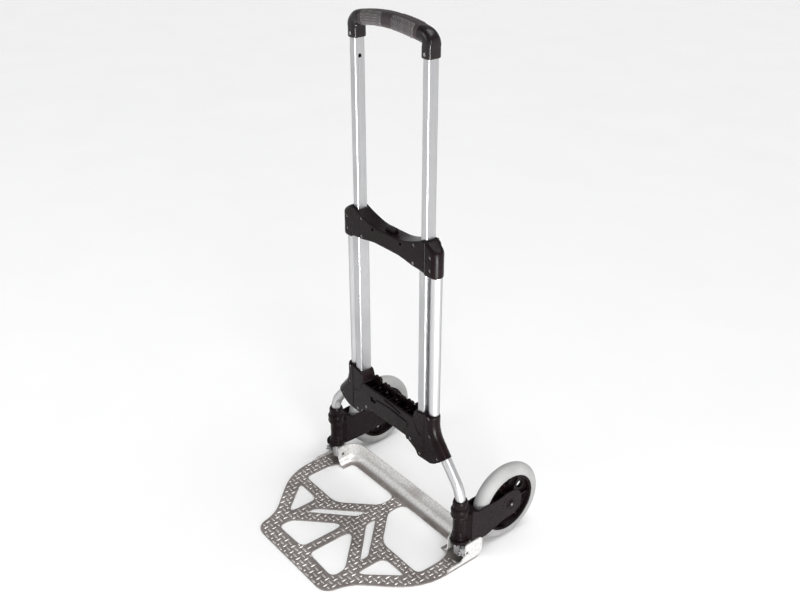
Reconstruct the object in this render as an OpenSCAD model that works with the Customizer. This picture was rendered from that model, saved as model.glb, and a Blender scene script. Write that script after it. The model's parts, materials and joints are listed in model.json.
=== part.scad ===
// Folding two-wheeled hand truck with a telescoping handle. All sizes are in millimetres.
// X runs across the truck, -Y is the side the load stands on, and Z is up from the ground.
// Turning the toe plate up swings both wheel forks inwards through toothed sectors.

/* [Handle] */
// Height of the top of the grip with the handle pulled out
grip_top_z = 1084; // [1070:1:1095]
// How far the handle slides down into the frame
handle_travel = 320; // [300:5:325]
// Radius of the arch of the grip, at its top face
grip_arch_r = 470; // [440:5:520]
// Depth of the grip, front to back
grip_depth = 30; // [28:0.5:32]

/* [Frame] */
// Distance from the centre line to each pair of sliding tubes
rail_x = 104.5; // [104:0.1:105]
// Distance from the centre line to the straight part of each round tube
upper_tube_x = 130; // [129.5:0.1:130.5]
// Distance from the centre line to the foot of each round tube
lower_tube_x = 216; // [215:0.5:218]
// Outside diameter of the round tubes
frame_tube_d = 22; // [21.6:0.1:22.2]
// Radius of both bends of a round tube, on its axis
bend_r = 70; // [68:0.5:72]
// Angle of both bends of a round tube
bend_angle = 40; // [39:0.5:41]
// Height where the upper bend starts
bend_top_z = 296; // [294:0.5:298]

/* [Wheels] */
// Outside diameter of the tyres
wheel_d = 177; // [172:0.5:177]
// Width of the tyres
tyre_w = 33; // [31:0.5:33]
// Distance from the round tube to the axle
axle_y = 126; // [125:0.5:126]
// Distance from the foot of the tube to the middle of the wheel, outwards
wheel_offset = 2.2; // [2:0.1:2.4]
// Number of holes in a wheel
wheel_hole_count = 6; // [5:1:7]

/* [Toe plate] */
// Thickness of the toe plate
plate_t = 3; // [2.5:0.1:3.2]
// Distance from the round tubes to the front edge of the toe plate
plate_front = 282; // [270:1:290]
// Half of the width of the toe plate
plate_half_w = 242; // [242:0.5:244]
// Height of the toe plate's pivot
pivot_z = 27; // [27:0.1:27.4]
// Height of the ears above the ground
ear_top_z = 49; // [48:0.1:49.2]

/* [Hidden] */

$fn = 64;
running_gap = 0.05;
wheel_r = wheel_d / 2;
// The frame's origin is under the middle of the whole truck
tube_plane_y = (plate_front - axle_y - wheel_r) / 2;

// Sliding tubes
sleeve_w = 20;
sleeve_depth = 28;
sleeve_wall = 1.5;
sleeve_bottom_z = 215;
sleeve_top_z = 676;
inner_w = 16;
inner_depth = 24;
inner_wall = 1.3;
inner_bottom_z = 600;
tube_corner_r = 3;
bush_top_z = 686;
guide_h = 28;
latch_z = 670;
latch_hole_r = 3.8;
bolt_r = 3;
latch_travel = 6;

// Round tubes
tube_wall = 1.5;
tube_r = frame_tube_d / 2;
tube_top_z = 667;
tube_foot_z = 14;
// Gap between a round tube and the parts that hold it
way_gap = 0.1;
bend_run = lower_tube_x - upper_tube_x - 2 * bend_r * (1 - cos(bend_angle));
slant_l = bend_run / sin(bend_angle);
bend_low_z = bend_top_z - 2 * bend_r * sin(bend_angle) - slant_l * cos(bend_angle);

// Handle
elbow_bottom_z = grip_top_z - 64;
inner_top_z = grip_top_z - 44;
grip_h = 27;
grip_corner = 9;
grip_half_l = 82;
grip_axis_z = grip_top_z - grip_arch_r;
grip_half_angle = asin(grip_half_l / (grip_arch_r - grip_h / 2));
pad_t = 0.8;

// Brackets: y of the front and back faces, and of the joint between the two shells
bracket_front_y = -18;
bracket_back_y = 17;
shell_t = 3;
screw_r = 1.6;
screw_head_r = 3.4;
screw_head_h = 2.4;
// How far a screw head lies below the face of its bracket
head_sink = 0.6;
// Cross slot in a screw head: length, width and depth
slot_l = 4;
slot_w = 1;
slot_d = 1.2;

// Forks, measured from the foot of the tube
barrel_top_z = 134;
gear_top_z = 47.5;
barrel_r = 14.5;
bore_r = tube_r + running_gap;
bush_r = bore_r + 1.5;
bush_z = [[gear_top_z, gear_top_z + 13], [barrel_top_z - 13, barrel_top_z]];
cheek_outer = [19.2, 22.5];
cheek_inner = [-18, -14.8];
inner_cheek_z = 51;
axle_r = 5;

// Toothed drive: a flat sector on the toe plate turns a face gear under each fork
teeth_per_turn = 16;
tooth_step = 360 / teeth_per_turn;
pitch_r = 18;
tooth_up = 1.9;
tooth_down = 2.5;
tooth_w = 2.5;
tooth_slope = 0.34;
sector_x = lower_tube_x + pitch_r;
sector_t = 5;
face_z = pivot_z + pitch_r;
ear_t = plate_t;
pin_r = 4;

// ---------------------------------------------------------------- helpers

// Everything below is drawn with y = 0 in the plane of the round tubes
module in_place() { translate([0, tube_plane_y, 0]) children(); }

module on_side(side) {
    if (side > 0) children();
    else mirror([1, 0, 0]) children();
}

module both_sides() {
    children();
    mirror([1, 0, 0]) children();
}

function unit(v) = v / norm(v);

// A corner b between a and c, rounded from a distance cut before it to the same distance after it,
// or from nearly half way along a side that is too short for that
function round_corner(a, b, c, cut, steps) =
    cut == 0 ? [b] :
    let (
        k = min(cut, 0.48 * norm(a - b), 0.48 * norm(c - b)),
        p = b + unit(a - b) * k,
        q = b + unit(c - b) * k
    )
    [for (i = [0:steps]) let (s = i / steps) (1 - s) * (1 - s) * p + 2 * s * (1 - s) * b + s * s * q];

// Outline from corners given as [x, y, cut]
function rounded(corners, steps = 4) =
    let (n = len(corners), flat = [for (c = corners) [c.x, c.y]])
    [for (i = [0:n - 1])
        each round_corner(flat[(i + n - 1) % n], flat[i], flat[(i + 1) % n], corners[i].z, steps)];

// Half an outline, joined to its mirror image across x = 0
function mirrored(half) =
    let (n = len(half))
    concat(half, [for (i = [n - 1:-1:0]) [-half[i].x, half[i].y, half[i].z]]);

module rounded_box_2d(w, d, r) {
    square([w - 2 * r, d], center = true);
    square([w, d - 2 * r], center = true);
    for (sx = [-1, 1], sy = [-1, 1])
        translate([sx * (w / 2 - r), sy * (d / 2 - r)]) circle(r = r, $fn = 24);
}

module box_tube_2d(w, d, wall, r) {
    difference() {
        rounded_box_2d(w, d, r);
        rounded_box_2d(w - 2 * wall, d - 2 * wall, r - wall);
    }
}

// Extrudes an outline drawn in x and z from y0 to y1
module slab_y(y0, y1) { translate([0, y1, 0]) rotate([90, 0, 0]) linear_extrude(y1 - y0) children(); }

// Extrudes an outline drawn in y and z from x0 to x1
module slab_x(x0, x1) {
    translate([x0, 0, 0]) rotate([90, 0, 90]) linear_extrude(x1 - x0) children();
}

module rod_x(x0, x1, r) { translate([x0, 0, 0]) rotate([0, 90, 0]) cylinder(h = x1 - x0, r = r); }

module rod_y(y0, y1, r) { translate([0, y0, 0]) rotate([-90, 0, 0]) cylinder(h = y1 - y0, r = r); }

module ring_z(z0, z1, r_out, r_in) {
    translate([0, 0, z0]) difference() {
        cylinder(h = z1 - z0, r = r_out);
        translate([0, 0, -1]) cylinder(h = z1 - z0 + 2, r = r_in);
    }
}

// ---------------------------------------------------------------- frame

// The path of the right round tube as a solid rod, run past both ends by extra.
// Bending draws the tube in by bend_step, and the straight stretches run into the bends by lap.
module bent_rod(r, extra = 0) {
    bend_step = 0.05;
    lap = 0.05;
    foot_l = bend_low_z - tube_foot_z;
    // Turns each circle, so that its starting point stays off the joint between the bracket shells
    seam = 40;
    translate([upper_tube_x, 0, bend_top_z - lap]) rotate([0, 0, seam])
        cylinder(h = tube_top_z + extra - bend_top_z + lap, r = r);
    translate([upper_tube_x + bend_r, 0, bend_top_z]) rotate([90, 0, 0]) {
        rotate([0, 0, 180]) rotate_extrude(angle = bend_angle)
            translate([bend_r, 0]) rotate(seam) circle(r = r - bend_step);
        rotate([0, 0, 180 + bend_angle]) translate([bend_r, 0, 0]) {
            rotate([-90, 0, 0]) rotate([0, 0, seam]) translate([0, 0, -lap])
                cylinder(h = slant_l + 2 * lap, r = r);
            translate([bend_r, slant_l, 0]) rotate([0, 0, 180 - bend_angle]) {
                rotate_extrude(angle = bend_angle)
                    translate([bend_r, 0]) rotate(seam) circle(r = r - bend_step);
                translate([bend_r, 0, 0]) rotate([90, 0, 0]) rotate([0, 0, seam]) translate([0, 0, -lap])
                    cylinder(h = foot_l + extra + lap, r = r);
            }
        }
    }
}

module frame_tube(side) {
    color("silver") in_place() on_side(side) difference() {
        bent_rod(tube_r);
        bent_rod(tube_r - tube_wall, 1);
        translate([0, 0, pivot_z]) rod_x(lower_tube_x - 20, lower_tube_x + 20, pin_r);
    }
}

module outer_sleeve(side) {
    color("gainsboro") in_place() on_side(side) difference() {
        translate([rail_x, 0, sleeve_bottom_z]) linear_extrude(sleeve_top_z - sleeve_bottom_z)
            box_tube_2d(sleeve_w, sleeve_depth, sleeve_wall, tube_corner_r);
        translate([0, 0, latch_z]) rod_x(rail_x - sleeve_w, rail_x, latch_hole_r);
    }
}

// Plastic bushes that guide the inner tubes where they leave the sleeves
module sleeve_top_bushes() {
    clear = 2 * running_gap + 0.1;
    color("dimgray") in_place() both_sides() translate([rail_x, 0, sleeve_top_z])
        linear_extrude(bush_top_z - sleeve_top_z) difference() {
            rounded_box_2d(sleeve_w, sleeve_depth, tube_corner_r);
            rounded_box_2d(inner_w + clear, inner_depth + clear, tube_corner_r);
        }
}

// Collars on the round tubes above the forks
module tube_collars() {
    collar_r = 16;
    collar_top_z = 151;
    shoulder_r = 14;
    color("#2a2224") in_place() both_sides() difference() {
        translate([lower_tube_x, 0, 0]) rotate_extrude() polygon([
            [0, barrel_top_z + 0.1], [collar_r, barrel_top_z + 0.1], [collar_r, collar_top_z - 6],
            [shoulder_r, collar_top_z], [0, collar_top_z]]);
        bent_rod(tube_r + way_gap);
    }
}

// Collars under the forks, which carry their weight
module thrust_collars() {
    color("silver") in_place() both_sides() translate([lower_tube_x, 0, 0])
        ring_z(39, gear_top_z - 0.1, 14, tube_r);
}

module tube_foot_plugs() {
    plug_up = 6;
    lip = 1.5;
    color("#2a2224") in_place() both_sides() translate([lower_tube_x, 0, tube_foot_z]) {
        cylinder(h = plug_up, r = tube_r - tube_wall);
        translate([0, 0, -lip]) cylinder(h = lip, r = tube_r - 0.5);
    }
}

// ---------------------------------------------------------------- middle bracket

mid_outline = mirrored([
    [40, 669.5, 20], [74, 679, 14], [98, 688, 6], [104, 691, 3], [120, 691, 4], [146, 674, 7],
    [146, 622, 7], [117, 622, 3], [114, 627, 3], [103, 629, 4], [74, 631, 8], [40, 637, 12]]);
mid_pocket = mirrored([[40, 666, 12], [74, 675, 8], [90, 679, 3], [90, 634, 3], [74, 635, 4], [40, 641, 8]]);
mid_body_screws = [[80, 636]];
mid_end_screws = [[81, 673], [128, 638], [128, 664]];
mid_vents = [43, 663];

// Rounded housings round the tubes: radius, and distance of their axis in front of the tube's
housing_r = 14.9;
housing_shift = 3;
housing_h = 120;

// The space inside the bracket that the tubes and the sleeves fill
module tube_ways() {
    both_sides() {
        bent_rod(tube_r + way_gap);
        translate([rail_x, 0, sleeve_bottom_z]) linear_extrude(sleeve_top_z + 20 - sleeve_bottom_z)
            rounded_box_2d(sleeve_w, sleeve_depth, tube_corner_r);
        translate([0, 0, latch_z]) rod_x(rail_x - sleeve_w, rail_x, bolt_r + 0.3);
    }
}

// Back of the heads of the long screws
head_back_y = bracket_front_y + head_sink + screw_head_h;

// Cross slot cut into a screw head whose front is at y
module cross_slot(y) {
    for (turn = [0, 90]) rotate([0, turn, 0])
        translate([-slot_l / 2, y - 1, -slot_w / 2]) cube([slot_l, slot_d + 1, slot_w]);
}

module screw_holes(places, front) {
    both_sides() for (p = places) translate([p.x, 0, p.y]) {
        rod_y(bracket_front_y - 1, bracket_back_y - shell_t, screw_r);
        if (front) rod_y(bracket_front_y - 1, head_back_y, screw_head_r + 0.2);
    }
}

module screws(places) {
    both_sides() for (p = places) translate([p.x, 0, p.y]) difference() {
        union() {
            rod_y(head_back_y, bracket_back_y - shell_t, screw_r);
            rod_y(head_back_y - screw_head_h, head_back_y, screw_head_r);
        }
        cross_slot(head_back_y - screw_head_h);
    }
}

module mid_bracket_body(y0, y1) {
    intersection() {
        slab_y(y0, y1) polygon(rounded(mid_outline));
        translate([0, 0, inner_bottom_z]) union() {
            translate([-upper_tube_x, y0, 0]) cube([2 * upper_tube_x, y1 - y0, housing_h]);
            both_sides() translate([upper_tube_x, -housing_shift, 0]) cylinder(h = housing_h, r = housing_r);
        }
    }
}

// The button: width and depth of its cap, the cap's height from rest to pressed, and its middle
cap_w = 28;
cap_d = 13;
cap_z = [668, 678];
cap_y = -2.5;

// The hole in the top of the bracket that the button slides in
module button_way() {
    side_gap = [1, 0.7];
    way_below = 12;
    way_h = 30;
    size = [cap_w + 2 * side_gap.x, cap_d + 2 * side_gap.y];
    translate([-size.x / 2, cap_y - size.y / 2, cap_z[0] - way_below]) cube([size.x, size.y, way_h]);
}

module mid_bracket_front() {
    vent_r = 3.5;
    color("#2a2224") in_place() difference() {
        mid_bracket_body(bracket_front_y, 0);
        slab_y(bracket_front_y + shell_t, 1) polygon(rounded(mid_pocket));
        tube_ways();
        button_way();
        screw_holes(mid_body_screws, true);
        end_screw_holes(mid_end_screws);
        both_sides() translate([mid_vents.x, 0, mid_vents.y]) rod_y(bracket_front_y - 1, 0, vent_r);
    }
    color("#2a2224") in_place() screw_bosses(mid_body_screws, bracket_front_y + shell_t, 0);
}

module mid_bracket_back() {
    color("#2a2224") in_place() difference() {
        mid_bracket_body(0, bracket_back_y);
        slab_y(-1, bracket_back_y - shell_t) polygon(rounded(mid_pocket));
        tube_ways();
        button_way();
        screw_holes(mid_body_screws, false);
    }
    color("#2a2224") in_place() screw_bosses(mid_body_screws, 0, bracket_back_y - shell_t);
}

module screw_bosses(places, y0, y1) {
    boss_r = 4.2;
    both_sides() for (p = places) translate([p.x, 0, p.y]) difference() {
        rod_y(y0, y1, boss_r);
        rod_y(y0 - 1, y1 + 1, screw_r);
        if (y0 < 0) rod_y(y0 - 1, head_back_y, screw_head_r + 0.2);
    }
}

// Short screws where a tube or a bolt runs behind: depth of the hole, and of the head in it
end_screw_l = 5;
end_screw_sink = 1.4;

module end_screw_holes(places) {
    both_sides() for (p = places) translate([p.x, 0, p.y])
        rod_y(bracket_front_y - 1, bracket_front_y + end_screw_l, screw_head_r);
}

module end_screws(places) {
    both_sides() for (p = places) translate([p.x, 0, p.y]) difference() {
        rod_y(bracket_front_y + end_screw_sink, bracket_front_y + end_screw_l, screw_head_r);
        cross_slot(bracket_front_y + end_screw_sink);
    }
}

module mid_bracket_screws() {
    color("gray") in_place() {
        screws(mid_body_screws);
        end_screws(mid_end_screws);
    }
}

// ---------------------------------------------------------------- handle release

cam_slot_r = 2.4;
follower_r = 2;
follower_x = 16;
follower_z = 653;
bolt_y = [0.6, 3.6];
cam_y = [-3.6, -0.6];

module release_button() {
    cap_corner_r = 4;
    slot_run = latch_travel * 1.1;
    plate_w = 42;
    plate_z = [648, 664];
    neck_w = 24;
    plate_depth = cam_y[1] - cam_y[0];
    color("#2a2224") in_place() {
        translate([0, cap_y, cap_z[0]]) linear_extrude(cap_z[1] - cap_z[0])
            rounded_box_2d(cap_w, cap_d, cap_corner_r);
        translate([-neck_w / 2, cam_y[0], plate_z[1]]) cube([neck_w, plate_depth, cap_z[0] - plate_z[1]]);
        difference() {
            translate([-plate_w / 2, cam_y[0], plate_z[0]])
                cube([plate_w, plate_depth, plate_z[1] - plate_z[0]]);
            both_sides() translate([follower_x, 0, follower_z]) {
                rod_y(cam_y[0] - 1, cam_y[1] + 1, cam_slot_r);
                translate([-slot_run, 0, slot_run]) rod_y(cam_y[0] - 1, cam_y[1] + 1, cam_slot_r);
                rotate([0, 45, 0]) translate([-slot_run * sqrt(2), cam_y[0] - 1, -cam_slot_r])
                    cube([slot_run * sqrt(2), cam_y[1] - cam_y[0] + 2, 2 * cam_slot_r]);
            }
        }
    }
}

module button_spring() {
    spring_y = -6.6;
    spring_seat_z = 641.2;
    color("silver") in_place() translate([0, spring_y, 0]) ring_z(spring_seat_z, cap_z[0], 2.4, 1.6);
}

module latch_bolt(side) {
    arm_h = 7;
    riser_x = 84;
    tip_gap = 0.3;
    riser_w = 8;
    riser_over = 3;
    arm_over = 4;
    tip_x = rail_x - inner_w / 2 - tip_gap;
    color("silver") in_place() on_side(side) {
        translate([follower_x - arm_over, bolt_y[0], follower_z - arm_h / 2])
            cube([riser_x - follower_x + arm_over, bolt_y[1] - bolt_y[0], arm_h]);
        translate([riser_x - riser_w, bolt_y[0], follower_z - arm_h / 2])
            cube([riser_w, bolt_y[1] - bolt_y[0], latch_z + riser_over - follower_z + arm_h / 2]);
        translate([follower_x, 0, follower_z]) rod_y(cam_y[0], bolt_y[0] + 1, follower_r);
        translate([0, 0, latch_z]) rod_x(riser_x - riser_w, tip_x, bolt_r);
    }
}

// ---------------------------------------------------------------- lower bracket

// Where the upper bend of the tube ends, and the directions along the tube and away from it there
bend_end = [upper_tube_x + bend_r * (1 - cos(bend_angle)), bend_top_z - bend_r * sin(bend_angle)];
along = [sin(bend_angle), -cos(bend_angle)];
across = [cos(bend_angle), sin(bend_angle)];
housing_end = bend_end + 35 * along;
housing_rim = housing_end + housing_r * across;
housing_heel = housing_end - 20 * across;
lower_top_z = 315;
outer_bend_r = bend_r - housing_r;

// The outer edge of the bracket follows the bend of the tube
lower_outline = mirrored(concat(
    [[84, 288, 3], [90, 310, 5], [122, lower_top_z, 3], [upper_tube_x + housing_r, lower_top_z, 4]],
    [for (a = [0:8:bend_angle])
        [upper_tube_x + bend_r - outer_bend_r * cos(a), bend_top_z - outer_bend_r * sin(a), 2]],
    [[housing_rim.x, housing_rim.y, 4], [housing_heel.x, housing_heel.y, 4], [140, 204.5, 6]],
    [[122, 204, 4], [100, 202.5, 6], [93, 214, 4], [68, 225, 1], [64, 223, 1], [60, 231, 1]]));
lower_pocket = mirrored([[83, 282, 4], [88, 262, 4], [88, 224, 4], [60, 236, 4]]);
lower_screws = [[75, 231], [106, 211]];
lower_end_screws = [[131, 309], [135, 268], [160, 226]];

module lower_bracket_body(y0, y1) { slab_y(y0, y1) polygon(rounded(lower_outline)); }

module lower_bracket_front() {
    color("#2a2224") in_place() difference() {
        lower_bracket_body(bracket_front_y, 0);
        slab_y(bracket_front_y + shell_t, 1) polygon(rounded(lower_pocket));
        tube_ways();
        screw_holes(lower_screws, true);
        end_screw_holes(lower_end_screws);
        translate([-56, bracket_front_y - 1, 258]) cube([18, 3, 9]);
        slab_y(bracket_front_y - 1, bracket_front_y + 1.5)
            polygon([[-12, 281], [20, 280], [44, 276], [44, 280], [20, 284], [-12, 285]]);
    }
    color("#2a2224") in_place() difference() {
        screw_bosses(lower_screws, bracket_front_y + shell_t, 0);
        tube_ways();
    }
}

module lower_bracket_back() {
    block_top_z = 293;
    color("#2a2224") in_place() difference() {
        union() {
            lower_bracket_body(0, bracket_back_y);
            both_sides() for (b = [[8, 24, 0], [30, 52, 2], [60, 82, 6]])
                translate([b[0], bracket_back_y - 7.5, 280]) cube([b[1] - b[0], 7, block_top_z + b[2] - 280]);
        }
        slab_y(-1, bracket_back_y - shell_t) polygon(rounded(lower_pocket));
        tube_ways();
        screw_holes(lower_screws, false);
    }
    color("#2a2224") in_place() difference() {
        screw_bosses(lower_screws, 0, bracket_back_y - shell_t);
        tube_ways();
    }
}

module lower_bracket_screws() {
    color("gray") in_place() {
        screws(lower_screws);
        end_screws(lower_end_screws);
    }
}

// ---------------------------------------------------------------- handle

module inner_tube(side) {
    hole_low_z = latch_z;
    hole_high_z = latch_z + handle_travel;
    color("gainsboro") in_place() on_side(side) difference() {
        translate([rail_x, 0, inner_bottom_z]) linear_extrude(inner_top_z - inner_bottom_z)
            box_tube_2d(inner_w, inner_depth, inner_wall, tube_corner_r);
        for (z = [hole_low_z, hole_high_z])
            translate([0, 0, z]) rod_x(rail_x - inner_w, rail_x, latch_hole_r);
    }
}

module inner_tube_guides() {
    clear = 2 * running_gap;
    foot = 6;
    color("dimgray") in_place() both_sides() translate([rail_x, 0, inner_bottom_z]) {
        translate([0, 0, -foot]) linear_extrude(foot) rounded_box_2d(
            sleeve_w - 2 * sleeve_wall - clear, sleeve_depth - 2 * sleeve_wall - clear,
            tube_corner_r - sleeve_wall);
        linear_extrude(guide_h - foot) rounded_box_2d(
            inner_w - 2 * inner_wall, inner_depth - 2 * inner_wall, tube_corner_r - inner_wall);
    }
}

elbow_outline = [
    [91, 0, 1], [117, 0, 1], [128, 20, 4], [129, 36, 10], [119, 48, 8], [94, 56, 8], [grip_half_l - 4, 58, 0],
    [grip_half_l - 4, 30.5, 0], [88, 27, 4], [91, 18, 5]];

module handle_elbow(side) {
    half_depth = 15.5;
    round_r = 9;
    color("#1f1b1c") in_place() on_side(side) difference() {
        intersection() {
            slab_y(-half_depth, half_depth) translate([0, elbow_bottom_z]) polygon(rounded(elbow_outline));
            union() {
                translate([0, -half_depth, elbow_bottom_z - 1]) cube([128, 2 * half_depth, 52]);
                translate([60, 0, elbow_bottom_z + 44]) rotate([0, 90, 0]) linear_extrude(80)
                    rounded_box_2d(34, 2 * half_depth, round_r);
            }
        }
        translate([rail_x, 0, elbow_bottom_z - 1]) linear_extrude(inner_top_z - elbow_bottom_z + 1)
            rounded_box_2d(inner_w, inner_depth, tube_corner_r);
        translate([rail_x, 0, elbow_bottom_z + 10]) rod_y(-half_depth - 1, -inner_depth / 2, 3.2);
        grip_bar(grip_h, grip_depth, grip_half_angle);
    }
}

// The arched bar of the grip, between the angles -a and a on either side of its middle
module grip_bar(h, depth, a) {
    translate([0, 0, grip_axis_z]) rotate([90, 0, 0]) rotate([0, 0, 90 - a])
        rotate_extrude(angle = 2 * a, $fn = 360)
        translate([grip_arch_r - pad_t - grip_h / 2, 0]) rounded_box_2d(h, depth, grip_corner);
}

module handle_grip() {
    color("#4e4648") in_place() grip_bar(grip_h, grip_depth, grip_half_angle);
}

module grip_pads() {
    pad_from = 1.6;
    pad_to = 8.6;
    mid = (pad_from + pad_to) / 2;
    half = (pad_to - pad_from) / 2;
    color("#3a3436") in_place() both_sides() translate([0, 0, grip_axis_z]) rotate([0, mid, 0])
        translate([0, 0, -grip_axis_z]) difference() {
            grip_bar(grip_h + 2 * pad_t, grip_depth + 2 * pad_t, half);
            grip_bar(grip_h, grip_depth, half + 1);
        }
}

module elbow_screws() {
    color("gray") in_place() both_sides() translate([rail_x, 0, elbow_bottom_z + 10]) difference() {
        rod_y(-14.4, -inner_depth / 2, 3.2);
        cross_slot(-14.4);
    }
}

// ---------------------------------------------------------------- toe plate

plate_outline = mirrored([
    [plate_half_w, 18, 6], [plate_half_w, -117, 60], [139, -226, 44], [127, -plate_front, 30]]);
plate_cutouts = [
    [[15, 16, 22], [15, -29, 14], [86, -101, 20], [204, -101, 16], [204, -32, 14], [180, 16, 24]],
    [[122, -125, 20], [192, -124, 14], [122, -204, 26]],
    [[99, -149, 7], [99, -170, 9], [15.5, -90, 9], [15.5, -64, 8]],
    [[12, -122, 34], [12, -240, 16], [100, -243, 26], [100, -210, 14]]];
wall_y = 41;
wall_bend_r = 20;
wall_top_z = 48;
corner_r = 36;
corner_x = 161;
corner_y = wall_y - corner_r;
ear_inner_x = corner_x + corner_r;

// Section of the plate's rear wall: a flat start, the bend and the upright, outwards from the bend's centre
function wall_section(shift) =
    let (c = [wall_y - wall_bend_r - shift, wall_bend_r], steps = 8)
    concat(
        [[c.x - 2, 0]],
        [for (i = [0:steps]) c + wall_bend_r * [sin(90 * i / steps), -cos(90 * i / steps)]],
        [[wall_y - shift, wall_top_z], [wall_y - shift - plate_t, wall_top_z]],
        [for (i = [steps:-1:0]) c + (wall_bend_r - plate_t) * [sin(90 * i / steps), -cos(90 * i / steps)]],
        [[c.x - 2, plate_t]]);

outer_ear_outline = [
    [-62, 0, 0], [-56, plate_t, 0], [-44, 11, 5], [-14, 11, 5], [-5, 20, 5], [-5, ear_top_z, 6],
    [42, ear_top_z, 9], [42, 10, 14], [24, 0, 6]];
inner_ear_front = -13;

module toe_plate() {
    pin_hole_r = pin_r + running_gap;
    color("#9a948e") in_place() difference() {
        union() {
            linear_extrude(plate_t) difference() {
                polygon(rounded(plate_outline, 6));
                both_sides() for (c = plate_cutouts) polygon(rounded(c));
            }
            slab_x(-corner_x, corner_x) polygon(wall_section(0));
            both_sides() translate([corner_x, corner_y, 0]) {
                rotate_extrude(angle = 90) polygon(wall_section(corner_y));
                difference() {
                    translate([0, 0.1, 0]) rotate([90, 0, 0]) linear_extrude(corner_y - inner_ear_front)
                        polygon(wall_section(corner_y));
                    slab_x(0, corner_r + 1) translate([-corner_y, 0]) polygon(rounded([
                        [inner_ear_front - 2, ear_top_z + 5, 0], [inner_ear_front - 2, 24, 0],
                        [inner_ear_front, 24, 0], [inner_ear_front, ear_top_z, 16], [12, ear_top_z, 0],
                        [12, ear_top_z + 5, 0]]));
                }
            }
            both_sides() slab_x(plate_half_w - ear_t, plate_half_w) polygon(rounded(outer_ear_outline));
        }
        both_sides() translate([0, 0, pivot_z]) rod_x(ear_inner_x - 12, plate_half_w + 1, pin_hole_r);
        both_sides() translate([sector_x, 0, pivot_z]) for (p = rivet_places)
            translate([0, p.x, p.y]) rod_x(0, 20, rivet_r);
    }
}

module pivot_pin(side) {
    wall = 1.4;
    color("silver") in_place() on_side(side) translate([0, 0, pivot_z]) difference() {
        rod_x(ear_inner_x - ear_t, plate_half_w, pin_r);
        rod_x(ear_inner_x - ear_t - 1, plate_half_w + 1, pin_r - wall);
    }
}

// Spacers that keep the ears centred on the tube
module pivot_spacers() {
    spacer_r = 7;
    side_gap = 0.15;
    saddle = 8;
    color("dimgray") in_place() both_sides() translate([0, 0, pivot_z]) difference() {
        union() {
            rod_x(ear_inner_x + side_gap, lower_tube_x - saddle, spacer_r);
            rod_x(lower_tube_x + saddle, sector_x - sector_t / 2 - side_gap, spacer_r);
        }
        rod_x(ear_inner_x - 1, sector_x, pin_r);
        translate([lower_tube_x, 0, -2 * spacer_r]) cylinder(h = 4 * spacer_r, r = tube_r);
    }
}

// ---------------------------------------------------------------- toothed drive

rivet_r = 2;
rivet_places = [[5.5, -5.5], [-6, -5]];
sector_back_r = 12;
sector_root_r = pitch_r - tooth_down;
sector_tip_r = pitch_r + tooth_up;
sector_from = -tooth_step;
sector_teeth = 6;

// A tooth that points along +y from its root to its tip, as an outline
function tooth_outline(root, pitch, tip) =
    let (
        root_half = tooth_w / 2 + (pitch - root) * tooth_slope,
        tip_half = tooth_w / 2 - (tip - pitch) * tooth_slope
    )
    [[-root_half, root], [-tip_half, tip], [tip_half, tip], [root_half, root]];

module drive_sector(side) {
    last = sector_from + tooth_step * (sector_teeth - 1);
    edge = 9;
    color("#4a4a4d") in_place() on_side(side) translate([0, 0, pivot_z]) difference() {
        union() {
            rod_x(sector_x - sector_t / 2, plate_half_w - ear_t, sector_back_r);
            slab_x(sector_x - sector_t / 2, sector_x + sector_t / 2) {
                polygon(concat([[0, 0]], [for (a = [sector_from - edge:edge / 2:last + edge])
                    sector_root_r * [-sin(a), cos(a)]]));
                for (i = [0:sector_teeth - 1]) rotate(sector_from + i * tooth_step)
                    polygon(tooth_outline(sector_root_r - 1, pitch_r, sector_tip_r));
            }
        }
        rod_x(sector_x - sector_t, plate_half_w, pin_r + running_gap);
        for (p = rivet_places) translate([0, p.x, p.y]) rod_x(sector_x - sector_t, plate_half_w, rivet_r);
    }
}

module sector_rivets() {
    color("silver") in_place() both_sides() for (p = rivet_places)
        translate([0, p.x, pivot_z + p.y]) rod_x(sector_x - sector_t / 2, plate_half_w, rivet_r);
}

// ---------------------------------------------------------------- wheel forks

// Side outlines of the cheeks: distance behind the tube, and height
cheek_back = [
    [122, 124, 14], [146, 118, 12], [158, 96, 12], [156, 72, 12], [136, 57, 12], [106, 57, 12]];
outer_cheek_outline = concat(
    [[14, 125, 2], [30, 117, 9], [62, 119, 12], [92, 118, 10]], cheek_back,
    [[80, 49, 12], [60, 41, 8], [14, 41.5, 3]]);
inner_cheek_outline = concat(
    [[14, 125, 2], [30, 117, 9], [62, 119, 12], [92, 118, 10]], cheek_back, [[80, 51, 10], [14, 51, 3]]);

// Barrel of a fork, as half of its section: radius and height
barrel_section = [
    [0, gear_top_z], [18, gear_top_z], [18, 57], [15.5, 60], [15.5, 68], [barrel_r, 68.5], [barrel_r, 108],
    [17.5, 109.5], [19, 113], [19, 129], [17.5, 132], [15, barrel_top_z], [0, barrel_top_z]];

module face_teeth() {
    face_r = [15.5, 20.2];
    first = tooth_step / 2;
    for (i = [0:5]) rotate([0, 0, first - i * tooth_step]) slab_x(face_r[0], face_r[1])
        mirror([0, 1]) translate([0, -2 * face_z])
            polygon(tooth_outline(face_z - tooth_down - 1, face_z, face_z + tooth_up));
}

// Part of a flat ring around z, from angle a0 to a1
module ring_sector(z0, z1, r0, r1, a0, a1) {
    translate([0, 0, z0]) rotate([0, 0, a0]) rotate_extrude(angle = a1 - a0)
        translate([r0, 0]) square([r1 - r0, z1 - z0]);
}

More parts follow.
